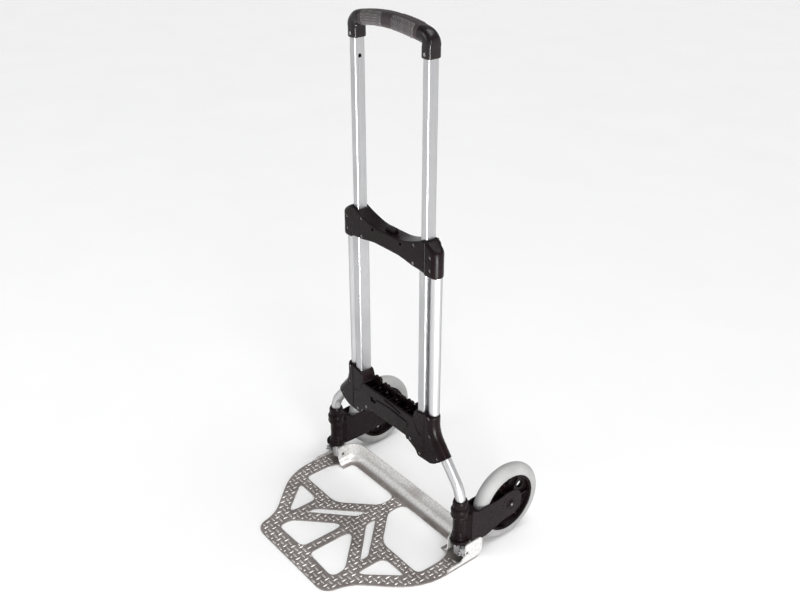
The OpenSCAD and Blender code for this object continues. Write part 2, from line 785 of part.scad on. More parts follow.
module wheel_fork(side) {
    web_end = 35;
    web_top_z = 116.5;
    color("#2a2224") in_place() on_side(side) translate([lower_tube_x, 0, 0]) difference() {
        union() {
            rotate_extrude() polygon(barrel_section);
            ring_sector(gear_top_z, 53, 14, 20.5, -125, 50);
            ring_sector(50.5, 56.6, 14, 24.5, -75, 75);
            face_teeth();
            slab_x(cheek_outer[0], cheek_outer[1]) polygon(rounded(outer_cheek_outline));
            slab_x(cheek_inner[0], cheek_inner[1]) polygon(rounded(inner_cheek_outline));
            difference() {
                translate([0, 0, inner_cheek_z + 0.2]) linear_extrude(web_top_z - inner_cheek_z) polygon([
                    [-12, 2], [13, 2], [cheek_outer[1] - 0.3, 17], [cheek_outer[1] - 0.3, web_end],
                    [cheek_inner[0] + 0.3, web_end], [cheek_inner[0] + 0.3, 17]]);
                translate([cheek_inner[1] + 4, 18, 62]) cube([cheek_outer[0] - cheek_inner[1] - 8, 40, 44]);
            }
        }
        translate([0, 0, 30]) cylinder(h = 120, r = bore_r);
        for (z = bush_z) translate([0, 0, z[0]]) cylinder(h = z[1] - z[0], r = bush_r);
        translate([0, axle_y, wheel_r]) rod_x(-30, 30, axle_r);
    }
}

module fork_bushes(side) {
    color("dimgray") in_place() on_side(side) translate([lower_tube_x, 0, 0])
        for (z = bush_z) ring_z(z[0], z[1], bush_r, bore_r);
}

// ---------------------------------------------------------------- wheels and axles

wheel_x = lower_tube_x + wheel_offset;
cheek_face_out = lower_tube_x + cheek_outer[0];
cheek_face_in = lower_tube_x + cheek_inner[1];
hub_half_w = 13.5;

module at_axle(side) { in_place() on_side(side) translate([0, axle_y, wheel_r]) children(); }

module axle(side) {
    head_r = 9;
    head_t = 3.5;
    color("silver") at_axle(side) {
        rod_x(cheek_face_in - 8.2, cheek_face_out + 4.5, axle_r);
        translate([lower_tube_x + cheek_outer[1], 0, 0]) rotate([0, 90, 0])
            cylinder(h = head_t, r1 = head_r, r2 = head_r - 1.5);
    }
}

module axle_nut(side) {
    nut_r = 9;
    nut_t = 3.6;
    face = lower_tube_x + cheek_inner[0];
    color("gray") at_axle(side) difference() {
        translate([face - nut_t, 0, 0]) rotate([0, 90, 0]) cylinder(h = nut_t, r = nut_r, $fn = 6);
        rod_x(face - nut_t - 1, face + 1, axle_r);
    }
}

// Washers between the hub and the two cheeks
module axle_washers(side) {
    washer_r = 9;
    gap = 0.3;
    spans = [
        [cheek_face_in + gap, wheel_x - hub_half_w - gap],
        [wheel_x + hub_half_w + gap, cheek_face_out - gap]];
    color("silver") at_axle(side) difference() {
        for (s = spans) rod_x(s[0], s[1], washer_r);
        rod_x(wheel_x - 30, wheel_x + 30, axle_r);
    }
}

// Rim of a wheel, as half of its section: distance from the axle, and from the wheel's middle
rim_r = 70;
hub_r = 15;
rim_section = [
    [hub_r, -hub_half_w], [hub_r, -4], [60, -4], [64, -14], [rim_r, -14], [rim_r, -7], [67, -4], [67, 4],
    [rim_r, 7], [rim_r, 14], [64, 14], [60, 4], [hub_r, 4],
    [hub_r, hub_half_w], [8, hub_half_w], [8, -hub_half_w]];

module wheel_rim(side) {
    hole_r = 8.5;
    hole_at = 46;
    bolt_circle = 24;
    color("#231e20") at_axle(side) translate([wheel_x, 0, 0]) rotate([0, 90, 0]) difference() {
        union() {
            rotate_extrude($fn = 96) polygon(rim_section);
            for (i = [0:wheel_hole_count - 1]) rotate([0, 0, (i + 0.5) * 360 / wheel_hole_count])
                for (z = [-10, 4]) translate([hub_r - 1, -1.5, z]) cube([46, 3, 6]);
        }
        for (i = [0:wheel_hole_count - 1]) rotate([0, 0, i * 360 / wheel_hole_count]) {
            translate([hole_at, 0, -20]) cylinder(h = 40, r = hole_r);
            rotate([0, 0, 180 / wheel_hole_count]) translate([bolt_circle, 0, -20]) cylinder(h = 6, r = 2);
        }
    }
}

module tyre(side) {
    tread_r = 15;
    edge_w = 14;
    half_w = tyre_w / 2;
    color("#c8c6c6") at_axle(side) translate([wheel_x, 0, 0]) rotate([0, 90, 0])
    rotate_extrude($fn = 96) difference() {
        intersection() {
            translate([rim_r - 4, -half_w]) square([wheel_r - rim_r + 4, tyre_w]);
            union() {
                translate([wheel_r - tread_r, 0]) circle(r = tread_r);
                translate([rim_r - 6, -edge_w]) square([wheel_r - tread_r - rim_r + 8, 2 * edge_w]);
                translate([wheel_r - tread_r - 2, 0]) circle(r = half_w);
            }
        }
        polygon(rim_section);
    }
}

module wheel_bushes(side) {
    bush_l = 9;
    hub_bore_r = rim_section[len(rim_section) - 1].x;
    color("dimgray") at_axle(side) difference() {
        for (s = [-1, 1]) {
            a = wheel_x + s * hub_half_w;
            b = wheel_x + s * (hub_half_w - bush_l);
            rod_x(min(a, b), max(a, b), hub_bore_r);
        }
        rod_x(wheel_x - 40, wheel_x + 40, axle_r + running_gap);
    }
}

// ---------------------------------------------------------------- nodes

frame_tube(1);  // frame_tube_right
frame_tube(-1);  // frame_tube_left
outer_sleeve(1);  // outer_sleeve_right
outer_sleeve(-1);  // outer_sleeve_left
sleeve_top_bushes();
tube_collars();
thrust_collars();
tube_foot_plugs();
mid_bracket_front();
mid_bracket_back();
mid_bracket_screws();
lower_bracket_front();
lower_bracket_back();
lower_bracket_screws();
release_button();
button_spring();
latch_bolt(1);  // latch_bolt_right
latch_bolt(-1);  // latch_bolt_left
inner_tube(1);  // inner_tube_right
inner_tube(-1);  // inner_tube_left
inner_tube_guides();
handle_elbow(1);  // handle_elbow_right
handle_elbow(-1);  // handle_elbow_left
handle_grip();
grip_pads();
elbow_screws();
toe_plate();
pivot_pin(1);  // pivot_pin_right
pivot_pin(-1);  // pivot_pin_left
pivot_spacers();
drive_sector(1);  // drive_sector_right
drive_sector(-1);  // drive_sector_left
sector_rivets();
wheel_fork(1);  // wheel_fork_right
wheel_fork(-1);  // wheel_fork_left
fork_bushes(1);  // fork_bushes_right
fork_bushes(-1);  // fork_bushes_left
axle(1);  // axle_right
axle(-1);  // axle_left
axle_nut(1);  // axle_nut_right
axle_nut(-1);  // axle_nut_left
axle_washers(1);  // axle_washers_right
axle_washers(-1);  // axle_washers_left
wheel_rim(1);  // wheel_rim_right
wheel_rim(-1);  // wheel_rim_left
tyre(1);  // tyre_right
tyre(-1);  // tyre_left
wheel_bushes(1);  // wheel_bushes_right
wheel_bushes(-1);  // wheel_bushes_left
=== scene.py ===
"""Looks for a folding two-wheeled hand truck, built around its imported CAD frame.

Shapes are drawn in millimetres with y = 0 in the plane of the round tubes, as in the CAD source,
and make() turns them into metres in the frame's own place. X is across, -Y is the load side, Z is up.
"""
import json
import math
import random

import bmesh
import bpy
import numpy as np
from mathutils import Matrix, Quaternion, Vector
from mathutils.geometry import delaunay_2d_cdt


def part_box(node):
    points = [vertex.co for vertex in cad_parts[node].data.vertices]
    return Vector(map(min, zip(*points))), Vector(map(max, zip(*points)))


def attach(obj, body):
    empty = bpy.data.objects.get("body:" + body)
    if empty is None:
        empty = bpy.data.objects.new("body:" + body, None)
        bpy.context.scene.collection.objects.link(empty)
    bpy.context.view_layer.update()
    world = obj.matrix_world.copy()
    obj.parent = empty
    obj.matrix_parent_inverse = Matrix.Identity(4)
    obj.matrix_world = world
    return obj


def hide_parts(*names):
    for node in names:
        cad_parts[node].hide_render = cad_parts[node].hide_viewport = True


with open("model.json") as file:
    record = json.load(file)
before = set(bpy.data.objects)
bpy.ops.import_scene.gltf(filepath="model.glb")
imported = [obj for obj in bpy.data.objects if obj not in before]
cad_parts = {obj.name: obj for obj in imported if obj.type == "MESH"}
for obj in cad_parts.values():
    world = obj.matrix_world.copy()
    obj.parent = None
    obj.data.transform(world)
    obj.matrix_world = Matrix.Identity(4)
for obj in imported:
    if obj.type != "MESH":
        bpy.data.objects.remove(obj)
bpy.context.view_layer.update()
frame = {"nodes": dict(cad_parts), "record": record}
nodes = frame["nodes"]

MM = 0.001
# Each side's name, and whether it mirrors the right one
SIDES = (("right", False), ("left", True))
sleeve_lo, sleeve_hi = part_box("outer_sleeve_right")
TUBE_Y = (sleeve_lo.y + sleeve_hi.y) / 2
rng = random.Random(11)


def span(node):
    """Box of a CAD node in millimetres, with y measured from the plane of the round tubes."""
    lo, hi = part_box(node)
    shift = Vector((0, TUBE_Y, 0))
    return (lo - shift) / MM, (hi - shift) / MM


# ---------------------------------------------------------------- materials

def node_tools(name):
    """A new material with its tree's shader, and a short way to add and link nodes."""
    material = bpy.data.materials.new(name)
    material.use_nodes = True
    tree = material.node_tree
    shader = tree.nodes["Principled BSDF"]

    def add(kind, links=None, **values):
        made = tree.nodes.new("ShaderNode" + kind)
        for key, value in values.items():
            setattr(made, key, value)
        for key, value in (links or {}).items():
            socket = made.inputs[key]
            if isinstance(value, bpy.types.NodeSocket):
                tree.links.new(value, socket)
            else:
                socket.default_value = value
        return made

    return material, tree, shader, add


def noise(add, where, scale, detail=3.0, rough=0.55, stretch=None):
    """Noise of a scale in features per metre, drawn out along an axis by stretch."""
    if stretch:
        where = add("Mapping", {"Vector": where, "Scale": stretch}).outputs["Vector"]
    made = add("TexNoise", {"Vector": where, "Scale": scale, "Detail": detail, "Roughness": rough})
    return made.outputs["Fac"]


def ramp(add, value, low, high, start=0.0, end=1.0):
    """Maps a value between start and end to a number or colour between low and high."""
    if isinstance(low, (tuple, list)):
        made = add("ValToRGB", {"Fac": value})
        made.color_ramp.elements[0].position = start
        made.color_ramp.elements[0].color = (*low, 1)
        made.color_ramp.elements[1].position = end
        made.color_ramp.elements[1].color = (*high, 1)
        return made.outputs["Color"]
    made = add("MapRange", {"Value": value, "From Min": start, "From Max": end,
                            "To Min": low, "To Max": high})
    return made.outputs["Result"]


def blend_colour(add, fac, a, b):
    """Colour a where fac is 0 and b where it is 1."""
    return add("MixRGB", {"Fac": fac, "Color1": a, "Color2": b}).outputs["Color"]


def plastic(name, dark, light, rough, grain, grain_scale, wear_and_sheen=0.5, spec=0.5, groove_shade=False):
    """Moulded plastic: fine grain, cloudy tone, edges rubbed paler, and dust. The paler edges are wear, and
    on finely ridged meshes such as the grip panels also a painted highlight on the ridge tops; groove_shade
    paints shade into the hollows.
    """
    material, tree, shader, add = node_tools(name)
    where = add("TexCoord").outputs["Object"]
    cloud = noise(add, where, 14, 4)
    colour = ramp(add, cloud, dark, light, 0.3, 0.7)
    edge = add("NewGeometry").outputs["Pointiness"]
    edge = ramp(add, edge, 0.0, wear_and_sheen, 0.51, 0.58)
    scuff = noise(add, where, 160, 6, 0.7)
    # Paler edges: rubbed wear, and on the grip panels' ridges also a painted highlight
    worn_and_sheen = add("Math", {0: edge, 1: ramp(add, scuff, 0.1, 1.0, 0.42, 0.62)}, operation="MULTIPLY").outputs[0]
    pale = tuple(min(1, c * 2.0 + 0.012) for c in light)
    colour = blend_colour(add, worn_and_sheen, colour, (*pale, 1))
    dust = ramp(add, noise(add, where, 45, 5, 0.65), 0.0, 0.008, 0.5, 0.75)
    colour = blend_colour(add, dust, colour, (0.30, 0.28, 0.27, 1))
    if groove_shade:
        # Painted shade: where ambient occlusion finds a hollow, the colour is darkened
        depth = ramp(add, add("AmbientOcclusion", {"Distance": 0.0022}).outputs["AO"], 1.0, 0.0, 0.62, 0.99)
        colour = blend_colour(add, depth, colour, (*[c * 0.12 for c in dark], 1))
    tree.links.new(colour, shader.inputs["Base Color"])
    tree.links.new(ramp(add, noise(add, where, 60, 4), rough - 0.06, rough + 0.08, 0.35, 0.65),
                   shader.inputs["Roughness"])
    shader.inputs["Specular IOR Level"].default_value = spec
    fine = noise(add, where, grain_scale, 2, 0.6)
    bump = add("Bump", {"Height": fine, "Strength": grain, "Distance": 0.0003})
    tree.links.new(bump.outputs["Normal"], shader.inputs["Normal"])
    return material


def metal(name, dark, light, rough, brush, scale, marks=0.4, bump_strength=0.12, edge=1.0):
    """Bare or anodised metal, brushed along the axis that brush leaves long. edge tints grazing views."""
    spread = 0.06
    material, tree, shader, add = node_tools(name)
    where = add("TexCoord").outputs["Object"]
    lines = noise(add, where, scale, 3, 0.6, brush)
    cloud = noise(add, where, 9, 4)
    mixed = add("Math", {0: lines, 1: cloud}, operation="MULTIPLY").outputs[0]
    colour = ramp(add, mixed, dark, light, 0.12, 0.36)
    spots = ramp(add, noise(add, where, 220, 5, 0.75), 0.0, marks, 0.62, 0.74)
    colour = blend_colour(add, spots, colour, (*[c * 0.62 for c in dark], 1))
    tree.links.new(colour, shader.inputs["Base Color"])
    shader.inputs["Metallic"].default_value = 1.0
    shader.inputs["Specular Tint"].default_value = (edge, edge, edge, 1)
    roughness = ramp(add, mixed, rough + spread, rough - spread, 0.12, 0.4)
    tree.links.new(roughness, shader.inputs["Roughness"])
    bump = add("Bump", {"Height": lines, "Strength": bump_strength, "Distance": 0.0002})
    tree.links.new(bump.outputs["Normal"], shader.inputs["Normal"])
    return material


def tyre_rubber(name):
    """Pale grey solid tyre: chalky bloom, with scuffs."""
    material, tree, shader, add = node_tools(name)
    where = add("TexCoord").outputs["Object"]
    colour = ramp(add, noise(add, where, 22, 5), (0.31, 0.307, 0.307), (0.38, 0.377, 0.375), 0.3, 0.7)
    scuffs = ramp(add, noise(add, where, 130, 6, 0.72), 0.0, 0.35, 0.58, 0.72)
    colour = blend_colour(add, scuffs, colour, (0.33, 0.32, 0.31, 1))
    tree.links.new(colour, shader.inputs["Base Color"])
    tree.links.new(ramp(add, noise(add, where, 70, 4), 0.5, 0.68, 0.3, 0.7), shader.inputs["Roughness"])
    shader.inputs["Specular IOR Level"].default_value = 0.4
    bump = add("Bump", {"Height": noise(add, where, 900, 3, 0.7), "Strength": 0.18, "Distance": 0.0004})
    tree.links.new(bump.outputs["Normal"], shader.inputs["Normal"])
    return material


def plate_metal(name, dark, light, rough, marks, wall):
    """Rolled aluminium sheet: cloudy oxide, scratches in two directions, darker stains.
    Above the flat sheet it has the paler, speckled colour wall."""
    material, tree, shader, add = node_tools(name)
    where = add("TexCoord").outputs["Object"]
    cloud = noise(add, where, 16, 6, 0.6)
    colour = ramp(add, cloud, dark, light, 0.34, 0.66)
    blotch = ramp(add, noise(add, where, 55, 6, 0.7), 0.0, marks, 0.5, 0.72)
    colour = blend_colour(add, blotch, colour, (*[c * 0.5 for c in dark], 1))
    high = add("SeparateXYZ", {"Vector": where}).outputs["Z"]
    smooth_part = ramp(add, high, 0.0, 1.0, 0.0034, 0.0060)
    speckle = noise(add, where, 240, 6, 0.75)
    speckle = ramp(add, speckle, tuple(c * 0.62 for c in wall), tuple(wall), 0.36, 0.60)
    colour = blend_colour(add, smooth_part, colour, speckle)
    along = noise(add, where, 60, 4, 0.6, (1.0, 14.0, 4.0))
    across = noise(add, where, 60, 4, 0.6, (14.0, 1.0, 4.0))
    scratch = add("Math", {0: along, 1: across}, operation="MAXIMUM").outputs[0]
    tree.links.new(colour, shader.inputs["Base Color"])
    shader.inputs["Metallic"].default_value = 0.6
    tree.links.new(ramp(add, cloud, rough + 0.08, rough - 0.06, 0.3, 0.7), shader.inputs["Roughness"])
    bump = add("Bump", {"Height": scratch, "Strength": 0.15, "Distance": 0.0003})
    tree.links.new(bump.outputs["Normal"], shader.inputs["Normal"])
    return material


# How a noise is stretched along each axis
ALONG_Z = (1.0, 1.0, 0.02)
EVEN = (1.0, 1.0, 1.0)
# Each look: its dark and light tone, its roughness, and its grain or brushing
LOOKS = {
    "round_tube": metal("round_tube", (0.60, 0.60, 0.61), (0.70, 0.70, 0.71), 0.36, ALONG_Z, 700,
                        marks=0.06, bump_strength=0.03, edge=0.30),
    "flat_tube": metal("flat_tube", (0.50, 0.50, 0.51), (0.59, 0.59, 0.60), 0.31, ALONG_Z, 700,
                       marks=0.08, bump_strength=0.03, edge=0.30),
    "tread_plate": plate_metal("tread_plate", (0.22, 0.198, 0.188), (0.39, 0.355, 0.34), 0.36, 0.45,
                               (0.93, 0.915, 0.90)),
    # The raised marks are painted much paler than the sheet: a painted highlight on their tops
    "tread_marks_painted_highlight": plate_metal("tread_marks_painted_highlight", (0.58, 0.54, 0.52), (0.82, 0.78, 0.76), 0.24, 0.3,
                               (0.82, 0.78, 0.76)),
    "black_plastic": plastic("black_plastic", (0.0042, 0.0016, 0.0022), (0.0090, 0.0046, 0.0056), 0.28,
                             0.20, 1500, 0.45, 0.11),
    "glossy_plastic": plastic("glossy_plastic", (0.004, 0.0022, 0.0026), (0.008, 0.0052, 0.0058), 0.20,
                              0.10, 900, 0.3, 0.34),
    "grip_plastic": plastic("grip_plastic", (0.030, 0.022, 0.024), (0.046, 0.036, 0.038), 0.50,
                            0.45, 1800, 0.4, 0.26),
    # Grip panels: a high wear_and_sheen value gives the ridge tops a painted highlight as well as rubbed
    # wear, and groove_shade puts painted shade in the grooves
    "grip_rubber": plastic("grip_rubber", (0.082, 0.073, 0.075), (0.120, 0.108, 0.111), 0.42,
                           0.4, 1500, 0.8, 0.40, groove_shade=True),
    "grey_tyre": tyre_rubber("grey_tyre"),
    "bush_nylon": plastic("bush_nylon", (0.05, 0.05, 0.05), (0.09, 0.09, 0.09), 0.45, 0.2, 1200),
    "gear_steel": metal("gear_steel", (0.34, 0.34, 0.345), (0.52, 0.52, 0.525), 0.36, EVEN, 500),
    "screw_steel": metal("screw_steel", (0.22, 0.21, 0.21), (0.36, 0.35, 0.35), 0.28, EVEN, 500),
    "zinc_steel": metal("zinc_steel", (0.38, 0.38, 0.39), (0.58, 0.58, 0.59), 0.30, EVEN, 400),
}
slot_of = {s["node"]: s["material_slot"] for s in frame["record"]["subparts"]}


def paint(obj, slot):
    """Gives an object one look."""
    obj.data.materials.clear()
    obj.data.materials.append(LOOKS[slot])


for name, obj in nodes.items():
    look = LOOKS[slot_of[name]]
    if obj.material_slots:
        for entry in obj.material_slots:
            entry.material = look
    else:
        obj.data.materials.append(look)


def soften(name, width):
    """Rounds the sharp edges of a CAD node with modifiers, width in millimetres."""
    sharp_angle = 32.0
    obj = nodes[name]
    weld = obj.modifiers.new("weld", "WELD")
    weld.merge_threshold = 0.01 * MM
    bevel = obj.modifiers.new("bevel", "BEVEL")
    bevel.width = width * MM
    bevel.segments = 2
    bevel.limit_method = "ANGLE"
    bevel.angle_limit = math.radians(sharp_angle)
    bevel.use_clamp_overlap = False
    bevel.miter_outer = "MITER_ARC"
    normals = obj.modifiers.new("normals", "WEIGHTED_NORMAL")
    normals.keep_sharp = False
    normals.weight = 80


# ---------------------------------------------------------------- mesh tools

def add_object(name, data):
    """A new object in the scene."""
    obj = bpy.data.objects.new(name, data)
    bpy.context.scene.collection.objects.link(obj)
    return obj


def make(name, verts, faces, body, slot, stands_for=(), mirror=False, sharp=38.0, bevel=0.0):
    """A piece from vertices in millimetres, which rides on body and takes the finish of slot."""
    side = -1 if mirror else 1
    place = [(side * v[0] * MM, v[1] * MM + TUBE_Y, v[2] * MM) for v in verts]
    mesh = bpy.data.meshes.new(name)
    mesh.from_pydata(place, [], [tuple(f) for f in faces])
    work = bmesh.new()
    work.from_mesh(mesh)
    bmesh.ops.remove_doubles(work, verts=work.verts, dist=0.004 * MM)
    bmesh.ops.dissolve_degenerate(work, edges=work.edges, dist=0.002 * MM)
    bmesh.ops.recalc_face_normals(work, faces=work.faces)
    for face in work.faces:
        face.smooth = True
    limit = math.radians(sharp)
    for edge in work.edges:
        if len(edge.link_faces) == 2 and edge.calc_face_angle(0) > limit:
            edge.smooth = False
    work.to_mesh(mesh)
    work.free()
    obj = add_object(name, mesh)
    paint(obj, slot)
    if bevel:
        mod = obj.modifiers.new("bevel", "BEVEL")
        mod.width = bevel * MM
        mod.segments = 2
        mod.limit_method = "ANGLE"
        mod.angle_limit = math.radians(sharp)
        mod.harden_normals = True
    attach(obj, body)
    if stands_for:
        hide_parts(*stands_for)
    return obj


def rounded(corners):
    """Closed outline from corners (u, v, cut), each rounded from a distance cut before and after it."""
    steps = 6
    out = []
    for i, (x, y, cut) in enumerate(corners):
        b = np.array([x, y], float)
        a = np.array(corners[i - 1][:2], float)
        c = np.array(corners[(i + 1) % len(corners)][:2], float)
        if cut == 0:
            out.append(b)
            continue
        la, lc = np.linalg.norm(a - b), np.linalg.norm(c - b)
        k = min(cut, 0.48 * la, 0.48 * lc)
        p, q = b + (a - b) / la * k, b + (c - b) / lc * k
        for s in np.linspace(0, 1, steps + 1):
            out.append((1 - s) ** 2 * p + 2 * s * (1 - s) * b + s * s * q)
    return np.array(out)


def mirrored(half):
    """Corners of the right half followed by those of the left."""
    return list(half) + [(-x, y, c) for x, y, c in reversed(half)]


def resample(path, step, closed=True):
    """The same polyline with no segment longer than step."""
    path = np.asarray(path, float)
    ends = np.roll(path, -1, 0) if closed else path[1:]
    out = []
    for a, b in zip(path, ends):
        n = max(1, int(math.ceil(np.linalg.norm(b - a) / step)))
        out.extend(a + (b - a) * i / n for i in range(n))
    if not closed:
        out.append(path[-1])
    return np.array(out)


def shifted(path, d, closed=True):
    """A polyline moved to its left by d."""
    path = np.asarray(path, float)
    if closed:
        before, after = path - np.roll(path, 1, 0), np.roll(path, -1, 0) - path
    else:
        step = np.diff(path, axis=0)
        before, after = np.vstack([step[:1], step]), np.vstack([step, step[-1:]])
    before = before / np.maximum(np.linalg.norm(before, axis=1, keepdims=True), 1e-9)
    after = after / np.maximum(np.linalg.norm(after, axis=1, keepdims=True), 1e-9)
    mean = before + after
    mean /= np.maximum(np.linalg.norm(mean, axis=1, keepdims=True), 1e-9)
    left = np.stack([-mean[:, 1], mean[:, 0]], 1)
    stretch = np.clip((mean * before).sum(1, keepdims=True), 0.4, 1)
    return path + left * d / stretch


def winding(path):
    """1 for a closed outline that runs anticlockwise, -1 for clockwise."""
    x, y = path[:, 0], path[:, 1]
    return np.sign((x * np.roll(y, -1) - np.roll(x, -1) * y).sum())


def inset(path, d):
    """A closed outline drawn in by d."""
    return shifted(path, d * winding(path))


def distance(points, path, closed=True):
    """Distance of each point from a polyline."""
    path = np.asarray(path, float)
    a = path if closed else path[:-1]
    b = np.roll(path, -1, 0) if closed else path[1:]
    ab = b - a
    size = np.maximum((ab * ab).sum(1), 1e-12)
    best = np.full(len(points), 1e9)
    for i in range(0, len(points), 2000):
        p = points[i:i + 2000, None]
        t = np.clip(((p - a) * ab).sum(-1) / size, 0, 1)
        best[i:i + 2000] = np.linalg.norm(p - a - t[..., None] * ab, axis=-1).min(1)
    return best


def inside(points, path):
    """Which points lie inside a closed outline."""
    x, y = points[:, 0], points[:, 1]
    hit = np.zeros(len(points), bool)
    for a, b in zip(path, np.roll(path, -1, 0)):
        crosses = (a[1] > y) != (b[1] > y)
        if crosses.any():
            at = (b[0] - a[0]) * (y - a[1]) / (b[1] - a[1] + 1e-15) + a[0]
            hit ^= crosses & (x < at)
    return hit


def smooth_step(x, a, b):
    """Rises smoothly from 0 at a to 1 at b."""
    t = np.clip((x - a) / (b - a), 0, 1)
    return t * t * (3 - 2 * t)


def sheet_mesh(outline, lines, step):
    """Triangles that fill an outline, with edges along each of the lines.
    Gives the points, the triangles and the edges on the boundary."""
    points, edges = [], []

    def add(path, closed):
        k, n = len(points), len(path)
        points.extend(path)
        edges.extend((k + i, k + (i + 1) % n) for i in range(n if closed else n - 1))

    add(outline, True)
    for line, closed in lines:
        add(line, closed)
    fixed = np.array(points)
    lo, hi = outline.min(0), outline.max(0)
    rows = np.arange(lo[1] + step / 2, hi[1], step * 0.866)
    grid = np.array([(u, v) for j, v in enumerate(rows)
                     for u in np.arange(lo[0] + (step / 2 if j % 2 else 0), hi[0], step)])
    grid = grid[inside(grid, outline)]
    near = np.full(len(grid), 1e9)
    for i in range(0, len(grid), 1000):
        near[i:i + 1000] = np.linalg.norm(grid[i:i + 1000, None] - fixed, axis=-1).min(1)
    points.extend(grid[near > step * 0.5])
    flat, _, tris, *_ = delaunay_2d_cdt([Vector(p) for p in points], edges, [], 0, 1e-4)
    flat = np.array([tuple(p) for p in flat])
    tris = np.array([t for t in tris if len(t) == 3])
    centre = flat[tris].mean(1)
    a, b, c = flat[tris[:, 0]], flat[tris[:, 1]], flat[tris[:, 2]]
    area = np.abs((b[:, 0] - a[:, 0]) * (c[:, 1] - a[:, 1]) - (b[:, 1] - a[:, 1]) * (c[:, 0] - a[:, 0])) / 2
    tris = tris[inside(centre, outline) & (area > 1e-5)]
    seen = {}
    for t in tris:
        for i in range(3):
            e = (t[i], t[(i + 1) % 3])
            seen.setdefault(tuple(sorted(e)), []).append(e)
    border = [v[0] for v in seen.values() if len(v) == 1]
    return flat, tris, border


def shell(outline, front, back, lines, step):
    """A closed solid between two height fields along y, over an outline in x and z."""
    flat, tris, border = sheet_mesh(outline, lines, step)
    n = len(flat)
    verts = [v for face in (front, back) for v in zip(flat[:, 0], face(flat), flat[:, 1])]
    faces = [tuple(t) for t in tris] + [(t[0] + n, t[2] + n, t[1] + n) for t in tris]
    faces += [(b, a, a + n, b + n) for a, b in border]
    return verts, faces


def circle(x, y, r):
    """A circle of points round x, y."""
    turns = np.arange(28) * math.tau / 28
    return np.stack([x + r * np.cos(turns), y + r * np.sin(turns)], 1)


def edge_drop(d, r):
    """How far a rounded edge of radius r falls away at a distance d inside it."""
    t = np.clip(1 - d / r, 0, 1)
    return r * (1 - np.sqrt(1 - t * t))


def sweep(path, section):
    """A section (list of (a, b) or a function of the share of the way) carried along a path of
    (point, across, upward) frames."""
    verts, faces = [], []
    rings = len(path)
    for i, (p, across, upward) in enumerate(path):
        loop = section(i / (rings - 1)) if callable(section) else section
        m = len(loop)
        verts.extend(tuple(np.array(p) + a * np.array(across) + b * np.array(upward)) for a, b in loop)
    for i in range(rings - 1):
        for j in range(m):
            k = (j + 1) % m
            faces.append((i * m + j, i * m + k, (i + 1) * m + k, (i + 1) * m + j))
    faces.append(tuple(range(m - 1, -1, -1)))
    faces.append(tuple((rings - 1) * m + j for j in range(m)))
    return verts, faces


def join(*parts):
    """Several meshes, each its vertices and faces, as one."""
    verts, faces = [], []
    for v, f in parts:
        k = len(verts)
        verts.extend(v)
        faces.extend(tuple(i + k for i in face) for face in f)
    return verts, faces


def box_loop(w, d, r, n=6):
    """Section of a rounded box w by d, as points (a, b)."""
    out = []
    for cx, cy, start in ((w / 2 - r, d / 2 - r, 0), (-w / 2 + r, d / 2 - r, 90),
                          (-w / 2 + r, -d / 2 + r, 180), (w / 2 - r, -d / 2 + r, 270)):
        for i in range(n + 1):
            a = math.radians(start + 90 * i / n)
            out.append((cx + r * math.cos(a), cy + r * math.sin(a)))
    return out


def lathe(profile, centre, axis, steps=64):
    """Turns a closed profile of (radius, along) round an axis ('x', 'y' or 'z') through centre."""
    verts, faces = [], []
    m = len(profile)
    for i in range(steps):
        c, s = math.cos(math.tau * i / steps), math.sin(math.tau * i / steps)
        for r, h in profile:
            p = {"x": (h, r * c, r * s), "y": (r * c, h, r * s), "z": (r * c, r * s, h)}[axis]
            verts.append(tuple(np.array(centre) + p))
    for i in range(steps):
        k = (i + 1) % steps
        for j in range(m):
            q = (j + 1) % m
            faces.append((i * m + j, i * m + q, k * m + q, k * m + j))
    return verts, faces


# ---------------------------------------------------------------- tube path

# The round tubes: x above and below the bend, and the bend's middle radius, angle and top
UPPER_X = 130.0
LOWER_X = 216.0
BEND_R = 70.0
BEND_ANGLE = math.radians(40)
BEND_TOP_Z = 296.0
TUBE_R = 11.0
# The way for a tube through a bracket, and the bracket's round housing and its middle
WAY_R = 11.1
HOUSING_R = 14.9
HOUSING_Y = -3.0
bend_end = np.array([UPPER_X + BEND_R * (1 - math.cos(BEND_ANGLE)),
                     BEND_TOP_Z - BEND_R * math.sin(BEND_ANGLE)])
along = np.array([math.sin(BEND_ANGLE), -math.cos(BEND_ANGLE)])
across = np.array([math.cos(BEND_ANGLE), math.sin(BEND_ANGLE)])
arc = np.radians(np.arange(0, 40.1, 4))


def beside_tube(top_z, off, length):
    """The right round tube's line from top_z to a length past its upper bend, moved outwards by off."""
    r = BEND_R - off
    bend = [(UPPER_X + BEND_R - r * math.cos(a), BEND_TOP_Z - r * math.sin(a)) for a in arc]
    end = bend_end + length * along + off * across
    return np.array([(UPPER_X + off, top_z)] + bend + [tuple(end)])


def both(path):
    """A path on the right side, and its mirror image on the left."""
    return [path, np.array([(-x, z) for x, z in path])]


FOOT_Z, TUBE_TOP_Z = 14.0, 667.0
# Where the slanting stretch ends, and the centre of the lower bend
slant_end = np.array([LOWER_X - BEND_R * (1 - math.cos(BEND_ANGLE)), 0.0])
slant_end[1] = bend_end[1] - (slant_end[0] - bend_end[0]) / math.tan(BEND_ANGLE)
low_centre = np.array([LOWER_X - BEND_R, slant_end[1] - BEND_R * math.sin(BEND_ANGLE)])


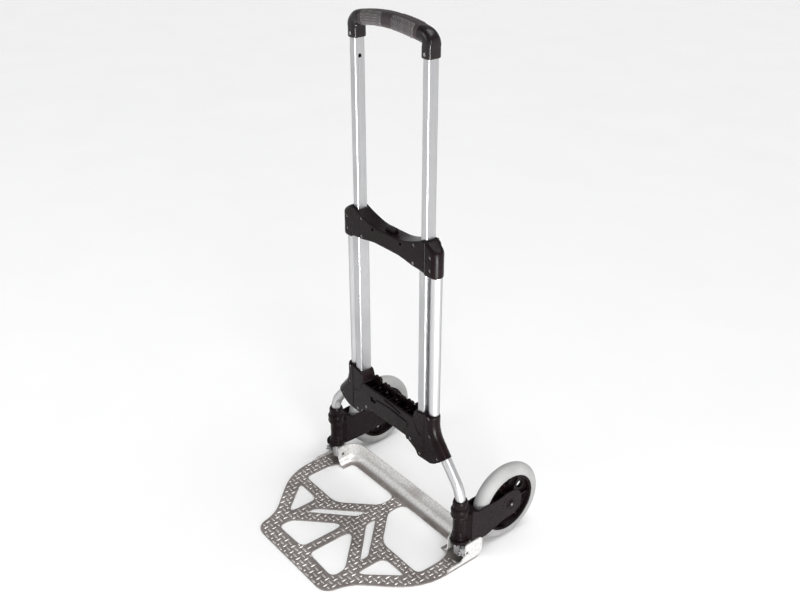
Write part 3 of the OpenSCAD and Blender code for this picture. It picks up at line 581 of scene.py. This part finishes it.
def frame_tube():
    """The right round tube: straight, two bends of the same radius, and a straight foot."""
    line = [((UPPER_X, z), 0.0) for z in np.linspace(TUBE_TOP_Z, BEND_TOP_Z + 4, 12)]
    for a in np.linspace(0, BEND_ANGLE, 21):
        line.append(((UPPER_X + BEND_R * (1 - math.cos(a)), BEND_TOP_Z - BEND_R * math.sin(a)), a))
    line += [(tuple(bend_end + (slant_end - bend_end) * t), BEND_ANGLE) for t in (0.25, 0.5, 0.75)]
    for a in np.linspace(BEND_ANGLE, 0, 21):
        line.append(((low_centre[0] + BEND_R * math.cos(a), low_centre[1] + BEND_R * math.sin(a)), a))
    line += [((LOWER_X, z), 0.0) for z in np.linspace(low_centre[1] - 4, FOOT_Z, 6)]
    path = [(np.array([x, 0, z]), np.array([math.cos(a), 0, math.sin(a)]), np.array([0, 1.0, 0]))
            for (x, z), a in line]
    ring = [(TUBE_R * math.cos(a), TUBE_R * math.sin(a)) for a in np.linspace(0, math.tau, 65)[:-1]]
    return sweep(path, ring)


for side_name, mirror in SIDES:
    make(f"frame_tube_{side_name}_sweep", *frame_tube(), "frame", "round_tube",
         [f"frame_tube_{side_name}"], mirror)

# ---------------------------------------------------------------- brackets

BRACKET_FRONT = -18.0
BRACKET_BACK = 17.0
SLEEVE_X, SLEEVE_HALF_W, SLEEVE_HALF_D = 104.5, 10.0, 14.0
# The back of the round housings, the pitch of the fine grooves on it, and the wall before a pocket
HOUSING_BACK, GROOVE_PITCH, FACE_WALL = 12.6, 2.8, 3.0
# A screw hole's radius, and how wide the steps at its rim and a pocket's are
HOLE_R, HOLE_RIM, POCKET_RIM = 3.5, 0.35, 0.3
# Spacing of the points along the lines of a bracket's mesh, and between them
LINE_STEP, GRID_STEP = 3.0, 3.4


def bracket(name, side, outline, outer_edges, axis_lines, screws, end_screws, top_way, extra_height,
            extra_lines, pocket, seam_x, way_top=1e3, round_ends=()):
    """Half of a bracket's housing, front (side -1) or back (side 1), as one closed shell.

    Its face is flat in the middle and rolls round the tubes at its outer edges. The mesh has lines
    wherever a height changes: at the rim, the tube ways, the seam, the screws and the relief."""
    edge_r = 1.6
    out = resample(outline, LINE_STEP)
    low, high = outline[:, 1].min(), outline[:, 1].max()
    lines = []

    def cut(path):
        """Adds an open line that the mesh has edges along."""
        lines.append((resample(path, LINE_STEP, False), False))

    for d in (0.25, 0.7, edge_r):
        lines.append((inset(out, d), True))
    for edge in outer_edges:
        turn = -1 if edge[0][0] > 0 else 1
        for d in (0.4, 1.2, 2.4, 4.2, 6.5, 9.5, 12.5, HOUSING_R):
            cut(shifted(edge, turn * d, False))
    for axis in axis_lines:
        for d in (-WAY_R, -10.0, -7.5, -4.0, 0.0, 4.0, 7.5, 10.0, WAY_R):
            cut(shifted(axis, d, False))
    for sx in (-1, 1):
        for x in (SLEEVE_X - SLEEVE_HALF_W, SLEEVE_X - SLEEVE_HALF_W - 0.15,
                  SLEEVE_X + SLEEVE_HALF_W, SLEEVE_X + SLEEVE_HALF_W + 0.15):
            cut([(sx * x, low), (sx * x, high)])
        for x in (seam_x - 1.7, seam_x - 0.9, seam_x - 0.5, seam_x, seam_x + 0.6):
            cut([(sx * x, low), (sx * x, high)])
        if way_top < high:
            for z in (way_top, way_top + 0.2):
                cut([(sx * 116, z), (sx * 144.5, z)])
        for edge, r in round_ends:
            for d in (0.15, 0.6, 1.4, 2.6, 4.2, 6.4, 8.5):
                if d < r:
                    cut(shifted([(sx * x, z) for x, z in edge], -sx * d, False))
    holes = [(x, z, 3.1) for x, z in screws] + [(x, z, 5.0) for x, z in end_screws]
    if side < 0:
        for x, z, _ in holes:
            for sx in (-1, 1):
                lines.append((circle(sx * x, z, HOLE_R + HOLE_RIM), True))
                lines.append((circle(sx * x, z, HOLE_R), True))
    lines += extra_lines
    well = resample(pocket, LINE_STEP)
    lines += [(well, True), (inset(well, POCKET_RIM), True)]

    def face(p):
        near = np.full(len(p), 1e9)
        for edge in outer_edges:
            near = np.minimum(near, distance(p, edge, False))
        t = np.clip(1 - near / HOUSING_R, 0, 1)
        if side < 0:
            y = HOUSING_Y - (HOUSING_Y - BRACKET_FRONT) * np.sqrt(1 - t * t)
        else:
            y = HOUSING_Y + (HOUSING_BACK - HOUSING_Y) * np.sqrt(1 - t * t)
            y += (BRACKET_BACK - 0.4 - HOUSING_BACK) * smooth_step(near, HOUSING_R, HOUSING_R + 9)
            groove = 0.5 + 0.5 * np.cos(math.tau * near / GROOVE_PITCH)
            y -= 0.5 * groove * smooth_step(near, 0.6, 2.0) * (1 - smooth_step(near, 8.0, 9.5))
        from_seam = np.abs(p[:, 0]) - seam_x
        y += side * 0.8 * np.clip(1 - np.abs(from_seam) / 0.6, 0, 1)
        y -= side * 0.9 * np.clip(1 - np.abs(from_seam + 1.2) / 0.5, 0, 1)
        y += extra_height(p) * side
        for edge, r in round_ends:
            far = distance(np.abs(p), edge, False)
            y -= side * edge_drop(far, r) * smooth_step(np.abs(p[:, 0]), seam_x, seam_x + 4)
        if side < 0:
            for x, z, depth in holes:
                gap = np.hypot(np.abs(p[:, 0]) - x, p[:, 1] - z) - HOLE_R
                y += depth * np.clip(1 - gap / HOLE_RIM, 0, 1)
        rim = edge_drop(distance(p, outline), edge_r)
        y -= side * rim * (near > 2)
        return side * np.maximum(side * y, 0.35)

    def joint(p):
        y = np.zeros(len(p))
        for axis in axis_lines:
            t = distance(p, axis, False)
            y = np.maximum(y, np.where(t < WAY_R, np.sqrt(np.maximum(WAY_R ** 2 - t ** 2, 0)), 0))
        y *= p[:, 1] < way_top + 0.1
        gap = np.abs(np.abs(p[:, 0]) - SLEEVE_X) - SLEEVE_HALF_W
        y = np.maximum(y, SLEEVE_HALF_D * np.clip(1 - gap / 0.15, 0, 1))
        deep = np.where(inside(p, pocket), np.clip(distance(p, pocket) / POCKET_RIM, 0, 1), 0)
        y = np.maximum(y, deep * (abs(BRACKET_FRONT if side < 0 else BRACKET_BACK) - FACE_WALL))
        y = np.maximum(y, top_way(p))
        limit = np.abs(face(p)) - 0.8
        return side * np.minimum(y, np.maximum(limit, 0))

    verts, faces = shell(out, face, joint, lines, GRID_STEP)
    return make(name, verts, faces, "frame", "black_plastic", stands_for=[name], sharp=32)


mid_outline = rounded(mirrored([
    (40, 669.5, 20), (74, 679, 14), (98, 688, 6), (104, 691, 3), (120, 691, 4), (144.9, 675, 6),
    (144.9, 622, 6), (117, 622, 3), (114, 627, 3), (103, 629, 4), (74, 631, 8), (40, 637, 12)]))
mid_edges = both(np.array([(UPPER_X + HOUSING_R, 700.0), (UPPER_X + HOUSING_R, 600.0)]))
mid_axes = both(np.array([(UPPER_X, 700.0), (UPPER_X, 600.0)]))
MID_SCREWS = [(80, 636)]
MID_END_SCREWS = [(81, 673), (128, 638), (128, 664)]
MID_SEAM_X, LOWER_SEAM_X = 114.8, 121.0
WAY_TOP_Z = TUBE_TOP_Z + 0.2
BUTTON_HALF_W = 15.0
BUTTON_FRONT, BUTTON_BACK = 9.7, 4.7
VENT_X, VENT_Z = 43, 663
mid_ends = (([(100, 691), (120, 691), (150, 671.7)], 7.5), ([(112, 622), (150, 622)], 4.5))


def mid_top(side):
    """Opening for the button in the top wall, as a function of the point."""
    return lambda p: np.where((np.abs(p[:, 0]) < BUTTON_HALF_W) & (p[:, 1] > 655),
                              BUTTON_FRONT if side < 0 else BUTTON_BACK, 0)


def mid_relief(p):
    """Two vents."""
    x, z = np.abs(p[:, 0]), p[:, 1]
    vent = np.hypot(x - VENT_X, z - VENT_Z) - 3.2
    return -3.0 * np.clip(1 - vent / 0.35, 0, 1)


mid_pocket = rounded(mirrored([
    (40, 665, 12), (74, 674, 8), (90, 678, 3), (90, 634, 3), (74, 635, 4), (40, 641, 8)]))
mid_lines = [(circle(s * VENT_X, VENT_Z, r), True) for s in (-1, 1) for r in (3.2, 3.55)]
mid_lines += [(resample([(s * x, 640), (s * x, 680)], 3, False), False)
              for s in (-1, 1) for x in (14.9, 15.1)]
for name, side in (("mid_bracket_front", -1), ("mid_bracket_back", 1)):
    bracket(name, side, mid_outline, mid_edges, mid_axes, MID_SCREWS, MID_END_SCREWS, mid_top(side),
            mid_relief if side < 0 else lambda p: 0, mid_lines, mid_pocket, MID_SEAM_X, WAY_TOP_Z, mid_ends)

HOUSING_L = 35.0
lower_edge = beside_tube(315.0, HOUSING_R, HOUSING_L)
housing_end = bend_end + HOUSING_L * along
housing_heel = housing_end - 20 * across
lower_half = [(84, 288, 3), (90, 310, 5), (122, 315, 3), (UPPER_X + HOUSING_R, 315, 4)]
lower_half += [(x, z, 1.5) for x, z in lower_edge[1:-1]]
lower_half += [(*lower_edge[-1], 3), (*housing_heel, 4), (140, 204.5, 6), (122, 204, 4), (100, 202.5, 6),
               (93, 214, 4), (68, 225, 1), (64, 223, 1), (60, 231, 1)]
lower_outline = rounded(mirrored(lower_half))
lower_edges = both(beside_tube(330.0, HOUSING_R, HOUSING_L + 12))
lower_axes = both(beside_tube(330.0, 0.0, HOUSING_L + 25))
LOWER_SCREWS = [(75, 231), (106, 211)]
LOWER_END_SCREWS = [(131, 309), (135, 268), (160, 226)]
trough = rounded(mirrored([(82.5, 295, 1), (84, 262, 4), (84, 238, 4), (60, 240, 4)]))
band = rounded([(-60, 266, 3), (-60, 240, 6), (52, 240, 6), (66, 252, 6), (66, 268, 3), (8, 272, 8)])
slot = rounded([(-12, 281, 2), (20, 279.6, 8), (45, 275, 2), (45, 278.5, 2), (20, 283.4, 8), (-12, 285, 2)])
recess = rounded([(-56, 258, 2), (-38, 258, 2), (-36, 268, 2), (-56, 268, 2)])
ear_arc = [(-112 + 30 * math.cos(a), 318 - 60 * math.sin(a)) for a in np.radians(np.arange(0, 95, 6))]


def lower_relief(p):
    """Raised band across the middle, a long slot above it, a recess, and an arc down from each ear."""
    def plateau(path, rise):
        return np.where(inside(p, path), np.clip(distance(p, path) / rise, 0, 1), 0)
    y = 1.9 * plateau(band, 0.8)
    y -= 2.4 * plateau(slot, 0.5)
    y -= 3.2 * plateau(recess, 0.5)
    for s in (1, -1):
        rib = distance(p * np.array([s, 1]), np.array(ear_arc), False)
        y += 1.3 * np.clip(1 - rib / 1.1, 0, 1)
    return y


lower_lines = []
for path in (band, slot, recess):
    lower_lines += [(path, True), (inset(path, 0.5), True)]
lower_lines.append((inset(band, 0.8), True))
for s in (1, -1):
    for d in (-1.1, 0.0, 1.1):
        lower_lines.append((shifted([(s * x, z) for x, z in ear_arc], d, False), False))
lower_ends = (([(90, 311), (122, 315), (150, 315)], 4.0),)
for name, side in (("lower_bracket_front", -1), ("lower_bracket_back", 1)):
    bracket(name, side, lower_outline, lower_edges, lower_axes, LOWER_SCREWS, LOWER_END_SCREWS, lambda p: 0,
            lower_relief if side < 0 else lambda p: 0, lower_lines if side < 0 else [], trough, LOWER_SEAM_X,
            round_ends=lower_ends)


def bar(section, y0, y1):
    """A prism from a closed outline in x and z, between y0 and y1."""
    n = len(section)
    verts = [(x, y0, z) for x, z in section] + [(x, y1, z) for x, z in section]
    faces = [tuple(range(n)), tuple(range(2 * n - 1, n - 1, -1))]
    faces += [(i, (i + 1) % n, (i + 1) % n + n, i + n) for i in range(n)]
    return verts, faces


# Ribs and catches inside the open top of the lower bracket, and blocks along its back edge
inner = []
for x in (-66, -44, -24, -6, 12, 30, 50, 68):
    top = 279 + 4 * math.cos(x * 0.11)
    inner.append(bar([(x - 1, 240), (x + 1, 240), (x + 1, top - 3), (x + 1, top), (x - 1, top)], -14.6, 13.6))
for x in (-56, -32, 2, 38, 60):
    inner.append(bar([(x - 5, 262), (x + 5, 262), (x + 5, 272), (x + 2, 276), (x - 5, 276)], -9, -3))
    inner.append(bar([(x - 3, 262), (x + 4, 262), (x + 4, 280), (x, 283), (x - 3, 280)], 3, 9))
inner.append(bar([(-82, 268), (82, 268), (82, 271), (-82, 271)], -2, 3))
make("lower_bracket_ribs", *join(*inner), "frame", "black_plastic", bevel=0.5)
blocks = []
for sx in (-1, 1):
    for x0, x1, up in ((8, 24, 4), (30, 50, 6), (58, 80, 11)):
        a, b = sorted((sx * x0, sx * x1))
        c = (a + b) / 2
        notched = [(a, 282), (b, 282), (b, 286 + up), (b - 3, 289 + up), (c + 1, 289 + up),
                   (c + 1, 286 + up), (c - 2, 286 + up), (c - 2, 289 + up), (a + 2, 289 + up), (a, 287 + up)]
        blocks.append(bar(notched, 9.6, 16.4))
make("lower_bracket_blocks", *join(*blocks), "frame", "black_plastic", bevel=0.6)

# ---------------------------------------------------------------- handle

GRIP_TOP_Z = 1084.0
ARCH_R = 470.0
ARCH_Z = GRIP_TOP_Z - ARCH_R
# Radius of the grip's middle line
BAR_R = ARCH_R - 14.3


def arch_frame(angle):
    """Point, outward and tangent directions on the grip's middle line, at an angle from its middle."""
    a = math.radians(angle)
    up = np.array([math.sin(a), 0, math.cos(a)])
    return np.array([0, 0, ARCH_Z]) + BAR_R * up, up, np.array([0, 1.0, 0])


ELBOW_PIVOT = np.array([88.5, 0, 1042.6])
ELBOW_INNER, SOCKET_W, ARCH_W, ELBOW_D = 4.0, 24.0, 28.4, 31.0
FAN_END = 78.4
SCREW_Z = 1031.5
depthwise = np.array([0, 1.0, 0])


def elbow():
    """Glossy cover: a flat-sided socket on the tube that turns over a tight bend into the grip."""
    rings = []
    for z, lip in ((1023.6, 1.3), (1024.1, 0.6), (1025, 0.1), (1026, 0), (1029, 0), (1033, 0), (1038, 0)):
        rings.append((np.array([SLEEVE_X, 0, z]), np.array([1.0, 0, 0]),
                      SOCKET_W - 2 * lip, ELBOW_D - 2 * lip, 7.5))
    for t in np.linspace(0, 1, 15):
        turn = math.radians(FAN_END * t)
        w = SOCKET_W + (ARCH_W - SOCKET_W) * t + 1.6 * math.sin(math.pi * t)
        way = np.array([math.cos(turn), 0, math.sin(turn)])
        r = 7.5 + 5.5 * float(smooth_step(np.array(t), 0.0, 0.75))
        rings.append((ELBOW_PIVOT + (ELBOW_INNER + w / 2) * way, way, w, ELBOW_D, min(r, w / 2 - 1)))
    for angle, lip in ((11.2, 0), (10.8, 0), (10.5, 0.1), (10.3, 0.4), (10.2, 0.9)):
        p, up, _ = arch_frame(angle)
        rings.append((p, up, ARCH_W - 2 * lip, ELBOW_D - 2 * lip, 12.0 - lip))
    path = [(p, way, depthwise) for p, way, *_ in rings]
    loops = [box_loop(w, d, r, 8) for _, _, w, d, r in rings]
    return sweep(path, lambda share: loops[round(share * (len(rings) - 1))])


def screw_head(x, y, z, r):
    """Pan head with a round recess, facing -Y."""
    dome = [(r * 0.42, 1.3), (r * 0.42, 0.15), (r * 0.75, 0.0), (r * 0.95, 0.35), (r, 0.8), (r, 1.8),
            (0, 1.8), (0, 1.3)]
    return lathe([(q, y + h) for q, h in dome], (x, 0, z), "y", 24)


socket_ring = [(3.3, -15.2), (3.3, -15.9), (3.9, -16.2), (4.6, -15.9), (4.6, -15.2)]
for side_name, mirror in SIDES:
    ring = lathe(socket_ring, (SLEEVE_X, 0, SCREW_Z), "y", 32)
    make(f"handle_elbow_{side_name}_cover", *join(elbow(), ring), "handle", "glossy_plastic",
         [f"handle_elbow_{side_name}"], mirror, 50)
heads = join(screw_head(SLEEVE_X, -15.9, SCREW_Z, 3.2), screw_head(-SLEEVE_X, -15.9, SCREW_Z, 3.2))
make("elbow_screw_heads", *heads, "handle", "zinc_steel", ["elbow_screws"], sharp=30)

# Section of the grip's bar, and the angle from its middle to each end
BAR_H, BAR_D, BAR_CORNER = 27.7, 30.8, 10.5
BAR_END = 10.3


def grip_bar():
    """The arched bar, a little deeper in its plain middle."""
    path = [arch_frame(a) for a in np.linspace(-BAR_END, BAR_END, 81)]
    base = np.array(box_loop(BAR_H, BAR_D, BAR_CORNER, 10))

    def section(share):
        a = abs(-BAR_END + 2 * BAR_END * share)
        return base * float(1.0 + 0.014 * (1 - smooth_step(np.array(a), 1.0, 1.35)))
    return sweep(path, section)


make("handle_grip_bar", *grip_bar(), "handle", "grip_plastic", ["handle_grip"], sharp=50)


def grip_panel(side_x, side_y):
    """A soft panel on one face of the bar, with rounded corners: long ridges on the left half of the
    handle, slanting ones on the right."""
    loop = resample(np.array(box_loop(BAR_H, BAR_D, BAR_CORNER, 10)), 0.5)
    loop = loop[loop[:, 1] < -BAR_D / 2 + 6.5]
    loop = loop[np.argsort(loop[:, 0])]
    size = np.concatenate([[0], np.cumsum(np.linalg.norm(np.diff(loop, axis=0), axis=1))])
    normal = np.gradient(loop, axis=0)
    normal = np.stack([normal[:, 1], -normal[:, 0]], 1)
    normal /= np.linalg.norm(normal, axis=1, keepdims=True)
    half = size[-1] / 2
    angles = np.linspace(1.75, 9.3, 190)
    arc_s = np.radians(angles) * BAR_R
    m = 48
    corner = 5.0
    outer, inner_side = [], []
    for s, a in zip(arc_s, angles):
        edge = min(s - arc_s[0], arc_s[-1] - s)
        reach = half - (corner - math.sqrt(max(corner ** 2 - max(corner - edge, 0) ** 2, 0)))
        v = np.linspace(-reach, reach, m)
        x, y = (np.interp(v + half, size, loop[:, k]) for k in (0, 1))
        nx, ny = (np.interp(v + half, size, normal[:, k]) for k in (0, 1))
        rim = np.minimum(edge, reach - np.abs(v))
        if side_x < 0:
            phase = v * 0.98 + s * 0.20 + 1.1 * np.sin(s * 0.30 + v * 0.15)
        else:
            phase = v * 0.80 + s * 0.66 + 0.8 * np.sin(s * 0.35)
        ridge = smooth_step(0.5 + 0.5 * np.sin(phase * math.tau / 4.0), 0.2, 0.8)
        h = -0.15 + 0.45 * smooth_step(rim, 0.0, 0.7) + 0.95 * ridge * smooth_step(rim, 1.2, 2.4)
        p, up, _ = arch_frame(side_x * a)
        for q, w, n1, n2, rise in zip(x, y, nx, ny, h):
            outer.append(tuple(p + (q + n1 * rise) * up + side_y * -(w + n2 * rise) * depthwise))
            inner_side.append(tuple(p + (q - n1 * 0.8) * up + side_y * -(w - n2 * 0.8) * depthwise))
    n, k = len(outer), len(angles)
    faces = []
    for i in range(k - 1):
        for j in range(m - 1):
            a, b, c, d = i * m + j, i * m + j + 1, (i + 1) * m + j + 1, (i + 1) * m + j
            faces += [(a, b, c, d), (a + n, d + n, c + n, b + n)]
    rim_loop = list(range(m)) + [i * m + m - 1 for i in range(1, k)]
    rim_loop += [(k - 1) * m + j for j in range(m - 2, -1, -1)] + [i * m for i in range(k - 2, 0, -1)]
    for a, b in zip(rim_loop, rim_loop[1:] + rim_loop[:1]):
        faces.append((a, a + n, b + n, b))
    return outer + inner_side, faces


make("grip_panels", *join(*[grip_panel(sx, sy) for sx in (-1, 1) for sy in (-1, 1)]),
     "handle", "grip_rubber", ["grip_pads"], sharp=70)

# ---------------------------------------------------------------- wheels

# Radii of a fork's barrel: its middle, its foot and its collar
BARREL_R, FOOT_R, COLLAR_R = 14.5, 15.5, 19.0
wheel_lo, wheel_hi = span("tyre_right")
axle_y = (wheel_lo.y + wheel_hi.y) / 2
axle_z = (wheel_lo.z + wheel_hi.z) / 2
wheel_x = (wheel_lo.x + wheel_hi.x) / 2
# The outer end of the axle
head_x = span("axle_right")[1].x
centre = (0, axle_y, axle_z)


def rim_beads():
    """Raised rings on both faces of a rim: inside its edge, at its edge and round its hub."""
    beads = []
    turns = np.radians(np.arange(0, 360, 30))
    for s in (-1, 1):
        for r, size, base in ((61.5, 0.9, 13.6), (67.6, 0.7, 13.6), (19.5, 1.1, 4.2)):
            ring = [(r + size * math.cos(a), s * (base + size * math.sin(a))) for a in turns]
            beads.append(lathe(ring, (wheel_x, axle_y, axle_z), "x", 96))
    return join(*beads)


def out_to_head(profile):
    """A profile of (radius, distance inwards from the axle's end), for lathe()."""
    return [(r, head_x - back) for r, back in profile]


def hub_marks():
    """The ring round the axle's cap, and four bumps in an arc beside it."""
    ring = out_to_head([(10.9, 5.4), (10.9, 3.0), (11.5, 2.4), (12.5, 2.4), (13.1, 3.0), (13.1, 5.4)])
    bump = out_to_head([(0, 5.4), (1.7, 5.4), (1.7, 3.2), (1.0, 2.6), (0, 2.5)])
    arc_r = 24
    parts = [lathe(ring, centre, "x", 48)]
    for turn in np.radians((128, 146, 164, 182)):
        place = (0, axle_y + arc_r * math.cos(turn), axle_z + arc_r * math.sin(turn))
        parts.append(lathe(bump, place, "x", 16))
    return join(*parts)


def barrel_rings():
    """Fine raised rings where a fork's barrel changes radius."""
    rings = []
    for z, r in ((64.0, FOOT_R), (71.8, BARREL_R), (105.0, BARREL_R), (115.0, COLLAR_R), (127.0, COLLAR_R)):
        steps = ((-0.6, -1.0), (0.35, -0.7), (0.6, 0), (0.35, 0.7), (-0.6, 1.0))
        bead = [(r + out, z + up) for out, up in steps]
        rings.append(lathe(bead, (LOWER_X, 0, 0), "z", 64))
    return join(*rings)


cap = out_to_head([(0, 6.5), (5, 6.5), (5, 3.4), (8.8, 3.4), (8.8, 2.2),
                   (7.6, 1.2), (5.2, 1.0), (4.4, 1.6), (0, 1.6)])
shaft = [(0, wheel_x - 24.0), (4.9, wheel_x - 24.0), (4.9, head_x - 6.0), (0, head_x - 6.0)]
tip = out_to_head([(0, 3), (2.6, 3), (2.6, 0.9), (1.9, 0.3), (0, 0.2)])
for side_name, mirror in SIDES:
    fork = f"fork_{side_name}"
    make(f"rim_beads_{side_name}", *rim_beads(), f"wheel_{side_name}", "black_plastic", mirror=mirror)
    make(f"axle_cap_{side_name}", *lathe(cap, centre, "x", 40), fork, "black_plastic", mirror=mirror)
    make(f"fork_hub_marks_{side_name}", *hub_marks(), fork, "black_plastic", mirror=mirror, bevel=0.2)
    make(f"fork_barrel_rings_{side_name}", *barrel_rings(), fork, "black_plastic", mirror=mirror)
    make(f"axle_pin_{side_name}", *join(lathe(shaft, centre, "x", 32), lathe(tip, centre, "x", 24)),
         fork, "zinc_steel", [f"axle_{side_name}"], mirror)

# ---------------------------------------------------------------- toe plate

# The plate's outline and cut-outs, as in the CAD source, for keeping the marks clear of them
plate_outline = rounded(mirrored([(242, 18, 6), (242, -117, 60), (139, -226, 44), (127, -282, 30)]))
cutouts = []
for c in (
        [(15, 16, 22), (15, -29, 14), (86, -101, 20), (204, -101, 16), (204, -32, 14), (180, 16, 24)],
        [(122, -125, 20), (192, -124, 14), (122, -204, 26)],
        [(99, -149, 7), (99, -170, 9), (15.5, -90, 9), (15.5, -64, 8)],
        [(12, -122, 34), (12, -240, 16), (100, -243, 26), (100, -210, 14)]):
    cutouts += [rounded(c), rounded([(-x, y, k) for x, y, k in c])]
PLATE_T = 3.0
# Pitch of the marks, and the length, width and height of one
MARK_STEP = 12.4
MARK_L, MARK_W, MARK_H = 13.0, 4.6, 1.1


def tread():
    """Raised lens marks of rolled tread sheet, on a square grid, each across its neighbours."""
    stations = np.linspace(-1, 1, 11)
    checked = (-1, -0.5, 0, 0.5, 1)
    parts = []
    for i in range(-20, 21):
        for j in range(-24, 2):
            x, y = i * MARK_STEP, j * MARK_STEP + 6
            turn = (90 if (i + j) % 2 else 0) + rng.uniform(-4, 4)
            high = MARK_H * rng.uniform(0.8, 1.05)
            c, s = math.cos(math.radians(turn)), math.sin(math.radians(turn))
            ends = np.array([(x + t * MARK_L / 2 * c, y + t * MARK_L / 2 * s) for t in checked])
            free = inside(ends, plate_outline) & (distance(ends, plate_outline) > 2.2) & (ends[:, 1] < 15)
            for hole in cutouts:
                free &= ~inside(ends, hole) & (distance(ends, hole) > 1.8)
            # Smooth under the forks, and beside the plate's raised ears
            free &= ~((np.abs(np.abs(ends[:, 0]) - 218) < 25) & (ends[:, 1] > -18))
            free &= ~((np.abs(ends[:, 0]) > 236) & (ends[:, 1] > -68))
            kept = [t for t in stations if np.interp(t, checked, free.astype(float)) > 0.99]
            if len(kept) < 5:
                continue
            lo_t, hi_t = kept[0], kept[-1]
            verts, faces = [], []
            for t in np.linspace(lo_t, hi_t, 9):
                u = (2 * t - lo_t - hi_t) / (hi_t - lo_t)
                fall = max(1 - u * u, 0.0)
                w = MARK_W / 2 * (0.2 + 0.8 * fall ** 0.7)
                h = high * (0.3 + 0.7 * fall ** 0.5)
                px, py = x + t * MARK_L / 2 * c, y + t * MARK_L / 2 * s
                for off, up in ((-w, -0.3), (-0.8 * w, 0.55 * h), (0, h), (0.8 * w, 0.55 * h), (w, -0.3)):
                    verts.append((px - off * s, py + off * c, PLATE_T + up))
            for k in range(8):
                for m in range(5):
                    q = (m + 1) % 5
                    faces.append((5 * k + m, 5 * k + q, 5 * k + 5 + q, 5 * k + 5 + m))
            faces += [(4, 3, 2, 1, 0), (40, 41, 42, 43, 44)]
            parts.append((verts, faces))
    return join(*parts)


# The marks take the paler look, their painted highlight
paint(make("toe_plate_tread", *tread(), "plate", "tread_plate", sharp=80), "tread_marks_painted_highlight")

# ---------------------------------------------------------------- softened CAD nodes

for name, width in {
    "tube_collars": 0.8, "thrust_collars": 0.5, "tube_foot_plugs": 0.4, "sleeve_top_bushes": 0.5,
    "outer_sleeve_right": 0.3, "outer_sleeve_left": 0.3, "inner_tube_right": 0.3, "inner_tube_left": 0.3,
    "mid_bracket_screws": 0.25, "lower_bracket_screws": 0.25,
    "release_button": 0.5, "axle_nut_right": 0.5, "axle_nut_left": 0.5,
    "drive_sector_right": 0.3, "drive_sector_left": 0.3, "pivot_pin_right": 0.3, "pivot_pin_left": 0.3,
    "wheel_fork_right": 0.9, "wheel_fork_left": 0.9, "wheel_rim_right": 0.7, "wheel_rim_left": 0.7,
    "tyre_right": 0.5, "tyre_left": 0.5,
}.items():
    soften(name, width)

# ---------------------------------------------------------------- studio

camera_data = bpy.data.cameras.new("camera")
camera_data.lens = 43.6
camera_data.sensor_width = 36
camera = add_object("camera", camera_data)
camera.location = (1.3424, TUBE_Y - 1.0696, 1.4243)
aim = Vector((0, TUBE_Y + 0.017, 0.514)) - camera.location
camera.rotation_euler = aim.to_track_quat("-Z", "Y").to_euler()
bpy.context.scene.camera = camera

floor_mesh = bpy.data.meshes.new("floor")
FLOOR = 30.0
floor_corners = [(-FLOOR, -FLOOR, 0), (FLOOR, -FLOOR, 0), (FLOOR, FLOOR, 0), (-FLOOR, FLOOR, 0)]
floor_mesh.from_pydata(floor_corners, [], [(0, 1, 2, 3)])
floor = add_object("floor", floor_mesh)
floor_material, floor_tree, floor_shader, floor_add = node_tools("studio_floor")
floor_where = floor_add("TexCoord").outputs["Object"]
floor_tone = ramp(floor_add, noise(floor_add, floor_where, 3, 3), (0.90, 0.90, 0.90), (0.94, 0.94, 0.94))
floor_rough = ramp(floor_add, noise(floor_add, floor_where, 8, 3), 0.75, 0.9)
floor_tree.links.new(floor_tone, floor_shader.inputs["Base Color"])
floor_tree.links.new(floor_rough, floor_shader.inputs["Roughness"])
floor.data.materials.append(floor_material)

world = bpy.data.worlds.new("studio")
bpy.context.scene.world = world
world.use_nodes = True
background = world.node_tree.nodes["Background"]
background.inputs["Color"].default_value = (1, 1, 1, 1)
# Bright at the horizon, dimmer overhead
sky_where = world.node_tree.nodes.new("ShaderNodeTexCoord")
sky_parts = world.node_tree.nodes.new("ShaderNodeSeparateXYZ")
sky_ramp = world.node_tree.nodes.new("ShaderNodeMapRange")
for socket, value in {"From Min": 0.10, "From Max": 0.45, "To Min": 0.88, "To Max": 0.28}.items():
    sky_ramp.inputs[socket].default_value = value
world.node_tree.links.new(sky_where.outputs["Generated"], sky_parts.inputs["Vector"])
world.node_tree.links.new(sky_parts.outputs["Z"], sky_ramp.inputs["Value"])
world.node_tree.links.new(sky_ramp.outputs["Result"], background.inputs["Strength"])


def softbox(name, place, target, width, height, power, roll=0):
    """An area light at place that faces target, turned by roll degrees about Z."""
    data = bpy.data.lights.new(name, "AREA")
    data.shape = "RECTANGLE"
    data.size, data.size_y = width, height
    data.energy = power
    obj = add_object(name, data)
    obj.location = place
    towards = (Vector(target) - Vector(place)).to_track_quat("-Z", "Y")
    obj.rotation_euler = (Quaternion((0, 0, 1), math.radians(roll)) @ towards).to_euler()
    obj.visible_camera = False


softbox("kicker", (1.62, -0.56, 0.03), (1.62, -0.56, 1.0), 1.5, 0.30, 80, -19)
softbox("edge", (2.2, -0.85, 0.34), (0.17, 0, 0.35), 0.3, 0.6, 26)
softbox("side", (2.4, -0.5, 1.5), (0, 0, 0.6), 0.5, 1.2, 10)
softbox("front", (-1.2, -2.8, 2.2), (0, 0, 0.5), 1.2, 1.2, 14)
sky_data = bpy.data.lights.new("sky", "SUN")
sky_data.energy = 2.05
sky_data.angle = math.radians(50)
sky = add_object("sky", sky_data)
sky.rotation_euler = (math.radians(-14), math.radians(10), 0)

bpy.context.scene.view_settings.view_transform = "Standard"
